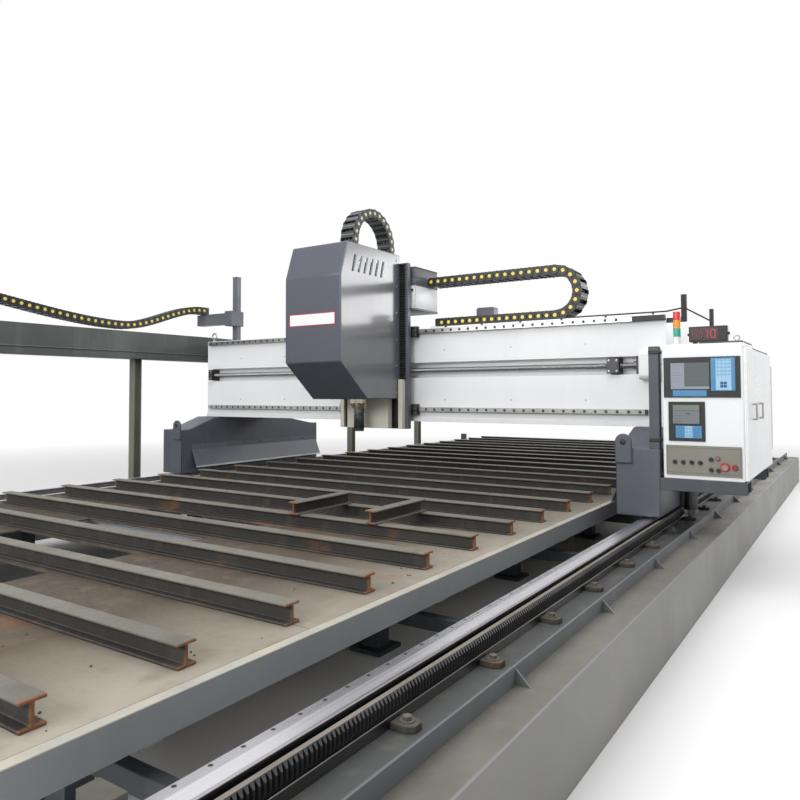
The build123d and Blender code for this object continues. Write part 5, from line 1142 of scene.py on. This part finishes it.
earPins = {
    "x": 2.723, "y": -1.4885, "z": 1.100,
    "profile": [(0.020, 0.0), (0.024, 0.003), (0.0245, 0.021), (0.018, 0.024)]}


def buildEarPins():
    bm = bmesh.new()
    for sign in (-1.0, 1.0):
        addLathe(bm, earPins["profile"], (sign * earPins["x"], earPins["y"], earPins["z"]), "Y", 20)
    addPiece("earPins", finishMesh("earPins", bm, [blackPlastic]), "gantry")


buildEarPins()
print("fasteners made")


# hood: bare plate, pressed lips beside the slits, screws down the rear edge

hoodPlate = {
    "left": -0.404, "right": 0.177, "low": 2.151, "high": 2.274, "border": 0.009,
    "back": -2.0100, "thick": 0.003, "face": 0.0012}
hoodTrim = {
    "left": -0.464, "right": 0.240, "lips": 6, "firstLip": -1.822, "lipPitch": 0.095, "lipLow": 2.68,
    "lipHigh": 2.85, "lean": 0.045, "crest": 0.010, "far": 0.018, "proud": 0.007, "taper": 0.004,
    "screwY": -1.060, "screwZs": (1.50, 1.78, 2.06, 2.34, 2.62, 2.90),
    "screw": [(0.013, 0.0), (0.013, 0.004), (0.009, 0.006)]}
lipFaces = ((0, 1, 2, 3), (3, 2, 5, 4), (0, 3, 4), (1, 5, 2), (0, 4, 5, 1))


def buildHoodPlate():
    left, right, low, high, edge = (hoodPlate[key] for key in ("left", "right", "low", "high", "border"))
    back, front = hoodPlate["back"], hoodPlate["back"] - hoodPlate["thick"]
    bm = bmesh.new()
    addBox(bm, (left, front, low), (right, back, high), 0)
    addBox(bm, (left + edge, front - hoodPlate["face"], low + edge), (right - edge, front, high - edge), 1)
    addPiece("hoodPlate", finishMesh("hoodPlate", bm, [redPlastic, whitePaint], smooth=False), "head")


def addLip(bm, y):
    wall, low, high, lean = (hoodTrim[key] for key in ("right", "lipLow", "lipHigh", "lean"))
    outer, crest, far = wall + hoodTrim["proud"], y + hoodTrim["crest"], y + hoodTrim["far"]
    corners = [bm.verts.new(spot) for spot in (
        (wall, y, low), (wall, y + lean, high), (outer, crest + lean, high - hoodTrim["taper"]),
        (outer, crest, low + hoodTrim["taper"]), (wall, far, low), (wall, far + lean, high))]
    for face in lipFaces:
        bm.faces.new([corners[corner] for corner in face])


def buildHoodTrim():
    bm = bmesh.new()
    for index in range(hoodTrim["lips"]):
        addLip(bm, hoodTrim["firstLip"] + hoodTrim["lipPitch"] * index)
    for side, way in ((hoodTrim["left"], -1.0), (hoodTrim["right"], 1.0)):
        profile = [(radius, height * way) for radius, height in hoodTrim["screw"]]
        for z in hoodTrim["screwZs"]:
            addLathe(bm, profile, (side, hoodTrim["screwY"], z), "X", 14, 1)
    tidyNormals(bm)
    addPiece("hoodTrim", finishMesh("hoodTrim", bm, [hoodGlossLitSide, zincSteel]), "head")


buildHoodPlate()
buildHoodTrim()


# spindle nose and tool, turned smooth

spindleForm = {
    "x": -0.112, "y": -1.252, "screws": 4, "screwRing": 0.084, "screwZ": 1.440,
    "screw": [(0.007, 0.0), (0.007, 0.004)], "arbor": [(0.040, 1.440), (0.040, 1.745)],
    "nose": [
        (0.074, 1.335), (0.077, 1.337), (0.080, 1.350), (0.0935, 1.386), (0.095, 1.390), (0.095, 1.402),
        (0.090, 1.404), (0.090, 1.410), (0.095, 1.412), (0.095, 1.436), (0.092, 1.440)],
    "tool": [
        (0.048, 1.097), (0.053, 1.103), (0.053, 1.140), (0.055, 1.144), (0.055, 1.262), (0.050, 1.268),
        (0.050, 1.276), (0.055, 1.282), (0.055, 1.335)]}


def buildSpindle():
    x, y = spindleForm["x"], spindleForm["y"]
    bm = bmesh.new()
    for key, sides, index in (("nose", 40, 0), ("arbor", 32, 0), ("tool", 36, 1)):
        addLathe(bm, spindleForm[key], (x, y, 0.0), "Z", sides, index)
    for screw in range(spindleForm["screws"]):
        angle = math.tau * (screw + 0.5) / spindleForm["screws"]
        reach = (spindleForm["screwRing"] * math.cos(angle), spindleForm["screwRing"] * math.sin(angle))
        addLathe(bm, spindleForm["screw"], (x + reach[0], y + reach[1], spindleForm["screwZ"]), "Z", 10, 1)
    tidyNormals(bm)
    mesh = finishMesh("spindleForm", bm, [brassSteel, toolSteel])
    addPiece("spindleForm", mesh, "spindle_body", ("spindle",))


buildSpindle()


# pleated covers beside the hood

bellows = {
    "lefts": (0.246, -0.530), "width": 0.060, "low": 1.645, "high": 2.855, "folds": 46, "base": -0.992,
    "peak": 0.024, "valley": 0.006, "back": -0.9902, "frameFront": -1.024, "frameEdge": 0.003,
    "footHeight": 0.006, "headHeight": 0.012}


def buildBellows():
    low, high, back, edge = (bellows[key] for key in ("low", "high", "back", "frameEdge"))
    steps = 2 * bellows["folds"]
    bm = bmesh.new()
    for left in bellows["lefts"]:
        right = left + bellows["width"]
        rows = []
        for index in range(steps + 1):
            z = low + (high - low) * index / steps
            y = bellows["base"] - (bellows["peak"] if index % 2 else bellows["valley"])
            corners = ((left, y), (right, y), (right, back), (left, back))
            rows.append([bm.verts.new((*corner, z)) for corner in corners])
        for lower, upper in zip(rows, rows[1:]):
            bridge(bm, lower, upper)
        bm.faces.new(rows[0])
        bm.faces.new(rows[-1])
        for foot, head in ((low - bellows["footHeight"], low), (high, high + bellows["headHeight"])):
            addBox(bm, (left - edge, bellows["frameFront"], foot), (right + edge, back, head), 1)
    tidyNormals(bm)
    mesh = finishMesh("guideBellows", bm, [hoseRubber, darkSteel], smooth=False)
    addPiece("guideBellows", mesh, "carriage")


buildBellows()


# junction case on the chain shelf: pale box under a grey lid, with cable glands

caseSizes = {
    "left": 0.240, "right": 0.375, "front": -0.900, "back": -0.430, "foot": 2.400, "band": 2.650,
    "lid": 2.730, "rim": 2.838, "top": 2.850, "inset": 0.004, "round": 0.003, "shelfLeft": -0.232,
    "shelfFront": -0.930, "shelfLow": 2.380, "glands": ((0.275, 2.615), (0.275, 2.575), (0.335, 2.60)),
    "screwIn": 0.016, "screwZs": (2.42, 2.63)}
glandProfile = [(0.014, 0.0), (0.014, 0.004), (0.011, 0.005), (0.011, 0.018), (0.008, 0.020)]
caseScrew = [(0.006, 0.0), (0.005, 0.003)]


def buildCase():
    left, right, front, back = (caseSizes[key] for key in ("left", "right", "front", "back"))
    foot, band, lid, rim, top = (caseSizes[key] for key in ("foot", "band", "lid", "rim", "top"))
    bm = bmesh.new()
    shelfCorner = (caseSizes["shelfLeft"], caseSizes["shelfFront"], caseSizes["shelfLow"])
    addBox(bm, shelfCorner, (right, back, foot), 0)
    for low, high, index in ((foot, band, 1), (band, lid, 0), (lid, rim, 0), (rim, top, 0)):
        inset = caseSizes["inset"] if low in (foot, lid) else 0.0
        addBox(bm, (left + inset, front + inset, low), (right - inset, back - inset, high), index)
    bevelEdges(bm, bm.edges[:], caseSizes["round"])
    face = front + caseSizes["inset"]
    for x, z in caseSizes["glands"]:
        addLathe(bm, glandProfile, (x, face, z), "Y", 16, 2)
    for x in (left + caseSizes["screwIn"], right - caseSizes["screwIn"]):
        for z in caseSizes["screwZs"]:
            addLathe(bm, caseScrew, (x, face, z), "Y", 10, 3)
    tidyNormals(bm)
    mesh = finishMesh("junctionCase", bm, [slatePaint, whitePaint, blackPlastic, zincSteel])
    addPiece("junctionCase", mesh, "carriage", ("chain_shelf",))


buildCase()


# wipers round the beam's ways and dark strips beside the slide

wiperSizes = {
    "ways": (1.323, 2.148), "ends": ((0.336, 0.402), (-0.626, -0.560)), "front": -0.930, "back": -0.868,
    "web": -0.8985, "inner": 0.0245, "outer": 0.056, "round": 0.002}
slideStrips = {
    "sides": ((0.166, 0.244), (-0.468, -0.390)), "front": -1.016, "back": -0.9902,
    "low": 1.130, "high": 1.636}


def buildWipers():
    front, inner, outer = wiperSizes["front"], wiperSizes["inner"], wiperSizes["outer"]
    bm = bmesh.new()
    for z in wiperSizes["ways"]:
        for left, right in wiperSizes["ends"]:
            addBox(bm, (left, front, z + inner), (right, wiperSizes["back"], z + outer), 0)
            addBox(bm, (left, front, z - outer), (right, wiperSizes["back"], z - inner), 0)
            addBox(bm, (left, front, z - inner), (right, wiperSizes["web"], z + inner), 0)
    for left, right in slideStrips["sides"]:
        addBox(bm, (left, slideStrips["front"], slideStrips["low"]),
               (right, slideStrips["back"], slideStrips["high"]), 1)
    bevelEdges(bm, bm.edges[:], wiperSizes["round"])
    addPiece("slideWipers", finishMesh("slideWipers", bm, [darkSteel, blackPlastic]), "carriage")


buildWipers()
print("carriage and head dressed")


# console: screens, keys and the strip's edge, each box as left, right, low, high

consoleFace = -1.498
screens = {
    "upper": (3.095, 3.371, 1.521, 1.722), "upperKeys": (3.109, 3.352, 1.466, 1.512),
    "pad": (3.384, 3.551, 1.508, 1.755), "lower": (3.107, 3.298, 1.256, 1.399),
    "lowerKeys": (3.125, 3.314, 1.146, 1.240), "strip": (3.060, 3.578, 0.880, 1.074)}
screenLayers = {"frame": 0.003, "tile": 0.0036, "glass": 0.0042, "line": 0.0048, "edge": 0.0006}
screenParts = {"bezel": 0.006, "split": 0.36, "footBar": 0.020, "gap": 0.002, "headBar": 0.040}
screenBars = {  # rows of plain bars under a screen's top edge, ragged at their right ends
    "list": {
        "count": 6, "top": 0.022, "pitch": 0.025, "thick": 0.004, "left": 0.010, "right": 0.012,
        "ragged": (0.0, 0.012, 0.024)},
    "plot": {
        "count": 4, "top": 0.034, "pitch": 0.036, "thick": 0.0025, "left": 0.014, "right": 0.030,
        "ragged": (0.0, 0.040, 0.020)},
    "menu": {
        "count": 3, "top": 0.083, "pitch": 0.022, "thick": 0.003, "left": 0.012, "right": 0.116,
        "ragged": (0.0,)}}
tileInsets = {"lower": (0.090, 0.066, 0.069, 0.060), "pad": (0.034, 0.026, 0.004, 0.010),
              "lowerKeys": (0.066, 0.067, 0.004, 0.004)}
stripLine = {"flat": 0.004, "upright": 0.003}
consoleFinishes = {
    "pale": screenPale, "green": screenGreen, "grey": screenGrey, "black": blackPlastic, "sky": keySky,
    "tile": keyPale, "edge": stripEdge, "line": screenLine, "moss": screenMoss, "mist": screenMist}
keyFields = [  # columns, rows, centre, reach of the centres, key, finish
    (8, 1, (3.2305, 1.489), (0.212, 0.0), (0.022, 0.026), keySky),
    (4, 5, (3.4715, 1.683), (0.078, 0.108), (0.019, 0.014), keyMist),
    (1, 8, (3.401, 1.632), (0.0, 0.204), (0.015, 0.015), keySky),
    (1, 8, (3.538, 1.632), (0.0, 0.204), (0.013, 0.015), keySky),
    (2, 2, (3.4715, 1.553), (0.024, 0.024), (0.020, 0.020), keyNavy),
    (3, 4, (3.158, 1.193), (0.046, 0.068), (0.017, 0.017), keySky),
    (3, 4, (3.2805, 1.193), (0.046, 0.068), (0.017, 0.017), keySky),
    (2, 3, (3.219, 1.193), (0.026, 0.052), (0.019, 0.017), keyMist)]
keyHeight = 0.003


def addPanel(bm, box, layer, finish, thick=0.002):
    left, right, low, high = box
    front = consoleFace - screenLayers[layer]
    index = list(consoleFinishes).index(finish)
    addBox(bm, (left, front, low), (right, front + thick, high), index)


def insetBox(box, insets):
    left, right, low, high = box
    return left + insets[0], right - insets[1], low + insets[2], high - insets[3]


def addBezel(bm, box):
    rim = insetBox(box, [-screenParts["bezel"]] * 4)
    addPanel(bm, rim, "frame", "black", screenLayers["frame"])


def addBars(bm, bars, left, right, high, finish):
    for index in range(bars["count"]):
        z = high - bars["top"] - index * bars["pitch"]
        end = right - bars["right"] - bars["ragged"][index % len(bars["ragged"])]
        addPanel(bm, (left + bars["left"], end, z, z + bars["thick"]), "line", finish)


def addUpperScreen(bm):
    left, right, low, high = screens["upper"]
    split = left + (right - left) * screenParts["split"]
    addBezel(bm, screens["upper"])
    addPanel(bm, (left, split, low, high), "glass", "pale")
    addPanel(bm, (split, right, low + screenParts["footBar"] + screenParts["gap"], high), "glass", "green")
    addPanel(bm, (split, right, low, low + screenParts["footBar"]), "glass", "pale")
    addBars(bm, screenBars["list"], left, split, high, "line")
    addBars(bm, screenBars["plot"], split, right, high, "grey")


def addLowerScreen(bm):
    left, right, low, high = screens["lower"]
    head = high - screenParts["headBar"]
    addBezel(bm, screens["lower"])
    addPanel(bm, (left, right, head, high), "glass", "moss")
    addPanel(bm, (left, right, low, head - screenParts["gap"]), "glass", "mist")
    addPanel(bm, insetBox(screens["lower"], tileInsets["lower"]), "line", "grey")
    addBars(bm, screenBars["menu"], left, right, high, "grey")


def addKeypads(bm):
    for name in ("pad", "lowerKeys", "upperKeys"):
        addPanel(bm, screens[name], "frame", "sky", screenLayers["frame"])
    for name in ("pad", "lowerKeys"):
        addPanel(bm, insetBox(screens[name], tileInsets[name]), "tile", "tile")


def addStripEdge(bm):
    left, right, low, high = screens["strip"]
    flat, upright = stripLine["flat"], stripLine["upright"]
    for foot in (low, high - flat):
        addPanel(bm, (left, right, foot, foot + flat), "edge", "edge", screenLayers["edge"])
    for x in (left, right - upright):
        addPanel(bm, (x, x + upright, low, high), "edge", "edge", screenLayers["edge"])


def buildConsole():
    bm = bmesh.new()
    addUpperScreen(bm)
    addLowerScreen(bm)
    addKeypads(bm)
    addStripEdge(bm)
    tidyNormals(bm)
    meshes = [finishMesh("consoleFace", bm, list(consoleFinishes.values()), smooth=False)]
    for columns, rows, centre, reach, key, finish in keyFields:
        meshes.append(grow(keyField, {
            "Columns": columns, "Rows": rows, "Field": (*reach, 0.0), "Key": (*key, keyHeight),
            "Place": (centre[0], consoleFace - screenLayers["glass"], centre[1]), "Turn": frontFacing,
            "Material": finish}))
    addPiece("consoleFace", gather("consoleFace", meshes), "gantry")


controlRings = [  # inner and outer radius, height, sides, finish, places
    (0.0158, 0.0192, 0.004, 24, 0, ((3.116, 0.961), (3.177, 0.961), (3.238, 0.961), (3.299, 0.961))),
    (0.0148, 0.0185, 0.004, 24, 0, ((3.375, 0.990), (3.375, 0.913), (3.426, 0.909), (3.421, 0.999))),
    (0.0252, 0.034, 0.003, 32, 1, ((3.473, 0.936),)),
    (0.0178, 0.0235, 0.004, 28, 0, ((3.539, 0.936),))]


def buildControlRings():
    bm = bmesh.new()
    for inner, outer, height, sides, index, places in controlRings:
        for x, z in places:
            addRing(bm, (x, consoleFace, z), inner, outer, height, "Y", sides, index)
    tidyNormals(bm)
    addPiece("controlRings", finishMesh("controlRings", bm, [stripEdge, redPlastic]), "gantry")


# current meter: dark window, two unlit digits and then two lit ones

meterSizes = {"left": 3.226, "right": 3.499, "low": 1.882, "high": 2.000, "front": -1.468}
meterWindow = {"left": 0.012, "right": 0.062, "edge": 0.014, "proud": 0.002}
meterKey = {"left": 0.056, "right": 0.012, "edge": 0.020, "proud": 0.0016}
meterDigits = [  # digit, left edge, width, how far it stands out, slot
    ("8", 0.026, 0.032, 0.0018, 2), ("8", 0.070, 0.032, 0.0018, 2),
    ("1", 0.104, 0.034, 0.0022, 1), ("0", 0.154, 0.038, 0.0022, 1)]
digitSizes = {"foot": 0.026, "height": 0.066, "bar": 0.2, "gap": 0.002, "thick": 0.0012}
digitBars = {"0": "abcdef", "1": "bc", "8": "abcdefg"}


def addDigit(bm, mark, left, low, width, front, index):
    bar, gap, height = width * digitSizes["bar"], digitSizes["gap"], digitSizes["height"]
    right, high, middle = left + width, low + height, low + height / 2.0
    upper, lower = (middle + gap, high - gap), (low + gap, middle - gap)
    shapes = {
        "a": (left, right, high - bar, high), "d": (left, right, low, low + bar),
        "g": (left, right, middle - bar / 2, middle + bar / 2),
        "f": (left, left + bar, *upper), "b": (right - bar, right, *upper),
        "e": (left, left + bar, *lower), "c": (right - bar, right, *lower)}
    for key in digitBars[mark]:
        x0, x1, z0, z1 = shapes[key]
        addBox(bm, (x0, front - digitSizes["thick"], z0), (x1, front, z1), index)


def buildMeterFace():
    left, right, low, high, front = (meterSizes[key] for key in ("left", "right", "low", "high", "front"))
    bm = bmesh.new()
    edge = meterWindow["edge"]
    addBox(bm, (left + meterWindow["left"], front - meterWindow["proud"], low + edge),
           (right - meterWindow["right"], front, high - edge), 0)
    for mark, start, width, proud, index in meterDigits:
        addDigit(bm, mark, left + start, low + digitSizes["foot"], width, front - proud, index)
    edge = meterKey["edge"]
    addBox(bm, (right - meterKey["left"], front - meterKey["proud"], low + edge),
           (right - meterKey["right"], front, high - edge), 3)
    mesh = finishMesh("meterFace", bm, [meterGlass, digitRed, meterDim, blackPlastic], smooth=False)
    addPiece("meterFace", mesh, "gantry")


# signal tower, ribbed lenses over a plain foot

towerSizes = {
    "x": 3.130, "y": -1.420, "foot": 1.868, "radius": 0.029, "sides": 32, "base": 0.062, "lens": 0.066,
    "ribs": 7, "ribPitch": 0.0082, "crestUp": 0.004, "valleyUp": 0.008, "topCrest": 0.064}
towerShares = {"waist": 0.9, "lensFoot": 0.94, "crest": 0.985, "valley": 0.95, "lensTop": 0.90}


def buildTower():
    bm = bmesh.new()
    centre = (towerSizes["x"], towerSizes["y"], towerSizes["foot"])
    radius, sides = towerSizes["radius"], towerSizes["sides"]
    waist, lensFoot, crest, valley, lensTop = (radius * part for part in towerShares.values())
    base = [(radius, 0.0), (radius, 0.010), (waist, 0.012), (waist, 0.056), (radius, 0.058)]
    addLathe(bm, base + [(radius, towerSizes["base"])], centre, "Z", sides, 0)
    for lens in range(3):
        foot = towerSizes["base"] + lens * towerSizes["lens"]
        profile = [(lensFoot, foot)]
        for rib in range(towerSizes["ribs"]):
            up = foot + rib * towerSizes["ribPitch"]
            profile += [(crest, up + towerSizes["crestUp"]), (valley, up + towerSizes["valleyUp"])]
        profile += [(crest, foot + towerSizes["topCrest"]), (lensTop, foot + towerSizes["lens"])]
        addLathe(bm, profile, centre, "Z", sides, 1 + lens)
    tidyNormals(bm)
    mesh = finishMesh("towerForm", bm, [whitePaint, lensGreen, lensAmber, lensRed])
    addPiece("towerForm", mesh, "gantry", ("tower_light",))


# lifting eyes, ring and collar

liftingEyes = [(-2.860, -0.790, 2.180, 0.050), (3.560, -1.443, 1.868, 0.024)]  # place and ring radius
eyeShares = {"wire": 0.2, "rise": 1.45, "collar": [(0.66, 0.0), (0.66, 0.22), (0.44, 0.34), (0.3, 0.6)]}
eyeSteps = {"round": 28, "wire": 10}


def buildEyes():
    bm = bmesh.new()
    for x, y, z, size in liftingEyes:
        wire, middle = size * eyeShares["wire"], z + size * eyeShares["rise"]
        collar = [(size * radius, size * height) for radius, height in eyeShares["collar"]]
        addLathe(bm, collar, (x, y, z), "Z", 20)
        rings = []
        for step in range(eyeSteps["round"]):
            angle = math.tau * step / eyeSteps["round"]
            ring = []
            for side in range(eyeSteps["wire"]):
                turn = math.tau * side / eyeSteps["wire"]
                radius = size - wire + wire * math.cos(turn)
                across, up = radius * math.cos(angle), radius * math.sin(angle)
                ring.append(bm.verts.new((x + across, y + wire * math.sin(turn), middle + up)))
            rings.append(ring)
        for near, far in zip(rings, rings[1:] + rings[:1]):
            bridge(bm, near, far)
    tidyNormals(bm)
    addPiece("liftingEyes", finishMesh("liftingEyes", bm, [zincSteel]), "gantry", ("eye_bolts",))


# dark strip along the cabinet roof's edges

roofEdgeStrip = {
    "inner": 3.586, "outer": 3.6035, "height": 0.012, "left": 3.300, "front": -1.482,
    "line": [(-1.470, 1.868), (-0.982, 1.868), (-0.922, 1.838), (0.100, 1.838)]}


def buildRoofEdgeStrip():
    bm = bmesh.new()
    inner, outer, height = roofEdgeStrip["inner"], roofEdgeStrip["outer"], roofEdgeStrip["height"]
    rings = []
    for y, z in roofEdgeStrip["line"]:
        section = ((inner, y, z), (outer, y, z), (outer, y, z + height), (inner, y, z + height))
        rings.append([bm.verts.new(corner) for corner in section])
    for near, far in zip(rings, rings[1:]):
        bridge(bm, near, far)
    bm.faces.new(rings[0])
    bm.faces.new(rings[-1])
    back, foot = roofEdgeStrip["line"][0]
    addBox(bm, (roofEdgeStrip["left"], roofEdgeStrip["front"], foot), (outer, back, foot + height))
    tidyNormals(bm)
    addPiece("roofEdgeStrip", finishMesh("roofEdgeStrip", bm, [standPaint], smooth=False), "gantry")


buildRoofEdgeStrip()
buildConsole()
buildControlRings()
buildMeterFace()
buildTower()
buildEyes()
print("console dressed")


# slag and grit on the deck plates, clear of the openings

slagField = {
    "density": 9.0, "seed": 11, "smallest": 0.003, "largest": 0.009, "z": 0.5055, "halfLength": 6.2,
    "strips": ((-2.34, -0.84), (0.55, 2.34))}


def buildSlag():
    z, reach, verts = slagField["z"], slagField["halfLength"], []
    for left, right in slagField["strips"]:
        verts += [(left, -reach, z), (right, -reach, z), (right, reach, z), (left, reach, z)]
    mesh = grow(slagScatter, {
        "Density": slagField["density"], "Seed": slagField["seed"], "Smallest": slagField["smallest"],
        "Largest": slagField["largest"], "Material": clampSteel}, verts, [], [(0, 1, 2, 3), (4, 5, 6, 7)])
    addPiece("deckSlag", gather("deckSlag", [mesh]), "bed")


buildSlag()
print("deck dressed")


# floor, light and camera

studio = {
    "floor": (0.86, 0.86, 0.86), "floorRoughness": 0.85, "floorZ": -0.001, "reach": 60.0,
    "fade": (7.0, 16.0), "sky": 0.58}
lamps = {
    "overheadLamp": {
        "spot": (1.0, -4.0, 8.0), "target": (0.0, -1.5, 1.0), "size": (9.0, 9.0), "power": 480.0},
    "frontLamp": {
        "spot": (-0.5, -12.5, 4.8), "target": (0.5, -1.0, 1.4), "size": (8.0, 3.0), "power": 600.0},
    "sideLamp": {
        "spot": (6.2, 5.6, 3.8), "target": (0.24, -1.5, 2.4), "size": (8.2, 1.8), "power": 225.0}}
photoCamera = {
    "sensor": 36.0, "lens": 31.55, "shiftY": -0.041, "clipEnd": 200.0, "spot": (4.35, -7.2, 1.5),
    "pitch": 92.08, "yaw": 33.53, "roll": -0.17}
white = (1.0, 1.0, 1.0, 1.0)


def seenRays(tree):  # what a viewer sees, straight, mirrored or through glass
    rays = addNode(tree, "ShaderNodeLightPath").outputs
    seen = calc(tree, "MAXIMUM", rays["Is Camera Ray"], rays["Is Glossy Ray"])
    return calc(tree, "MAXIMUM", seen, rays["Is Transmission Ray"])


def buildFloor():
    bm = bmesh.new()
    reach = studio["reach"]
    ring = ((-reach, -reach), (reach, -reach), (reach, reach), (-reach, reach))
    bm.faces.new([bm.verts.new((*corner, studio["floorZ"])) for corner in ring])
    material, tree, shader, spot = newMaterial("studioFloor")
    shader.inputs["Base Color"].default_value = opaque(studio["floor"])
    shader.inputs["Roughness"].default_value = studio["floorRoughness"]
    glow = addNode(tree, "ShaderNodeEmission", {"Color": white, "Strength": 1.0})
    distance = addNode(tree, "ShaderNodeVectorMath", {0: spot}, operation="LENGTH").outputs["Value"]
    far = calc(tree, "MULTIPLY", spread(tree, distance, *studio["fade"]), seenRays(tree))
    mixer = addNode(tree, "ShaderNodeMixShader", {0: far, 1: shader.outputs[0], 2: glow.outputs[0]})
    tree.links.new(mixer.outputs[0], tree.nodes["Material Output"].inputs["Surface"])
    floor = bpy.data.objects.new("studioFloor", finishMesh("studioFloor", bm, [material], smooth=False))
    scene.collection.objects.link(floor)


def buildSky():
    world = bpy.data.worlds.new("studioSky")
    scene.world = world
    world.use_nodes = True
    tree = world.node_tree
    tree.nodes.clear()
    soft = addNode(tree, "ShaderNodeBackground", {"Color": white, "Strength": studio["sky"]})
    plain = addNode(tree, "ShaderNodeBackground", {"Color": white, "Strength": 1.0})
    seen = seenRays(tree)
    mixer = addNode(tree, "ShaderNodeMixShader", {0: seen, 1: soft.outputs[0], 2: plain.outputs[0]})
    addNode(tree, "ShaderNodeOutputWorld", {"Surface": mixer.outputs[0]})


def addLamp(name, spot, target, size, power):
    lamp = bpy.data.lights.new(name, "AREA")
    lamp.shape = "RECTANGLE"
    lamp.size, lamp.size_y = size
    lamp.energy = power
    lampObject = bpy.data.objects.new(name, lamp)
    lampObject.location = spot
    lampObject.rotation_euler = (Vector(target) - Vector(spot)).to_track_quat("-Z", "Y").to_euler()
    scene.collection.objects.link(lampObject)


def buildCamera():
    lens = bpy.data.cameras.new("photoCamera")
    lens.sensor_width = photoCamera["sensor"]
    lens.lens = photoCamera["lens"]
    lens.shift_y = photoCamera["shiftY"]
    lens.clip_end = photoCamera["clipEnd"]
    camera = bpy.data.objects.new("photoCamera", lens)
    camera.location = photoCamera["spot"]
    pitch, yaw, roll = (math.radians(photoCamera[key]) for key in ("pitch", "yaw", "roll"))
    aim = Euler((pitch, 0.0, yaw), "XYZ").to_matrix()
    camera.rotation_euler = (aim @ Matrix.Rotation(roll, 3, "Z")).to_euler()
    scene.collection.objects.link(camera)
    scene.camera = camera


buildFloor()
buildSky()
for lampName, settings in lamps.items():
    addLamp(lampName, **settings)
buildCamera()
scene.view_settings.view_transform = "Standard"
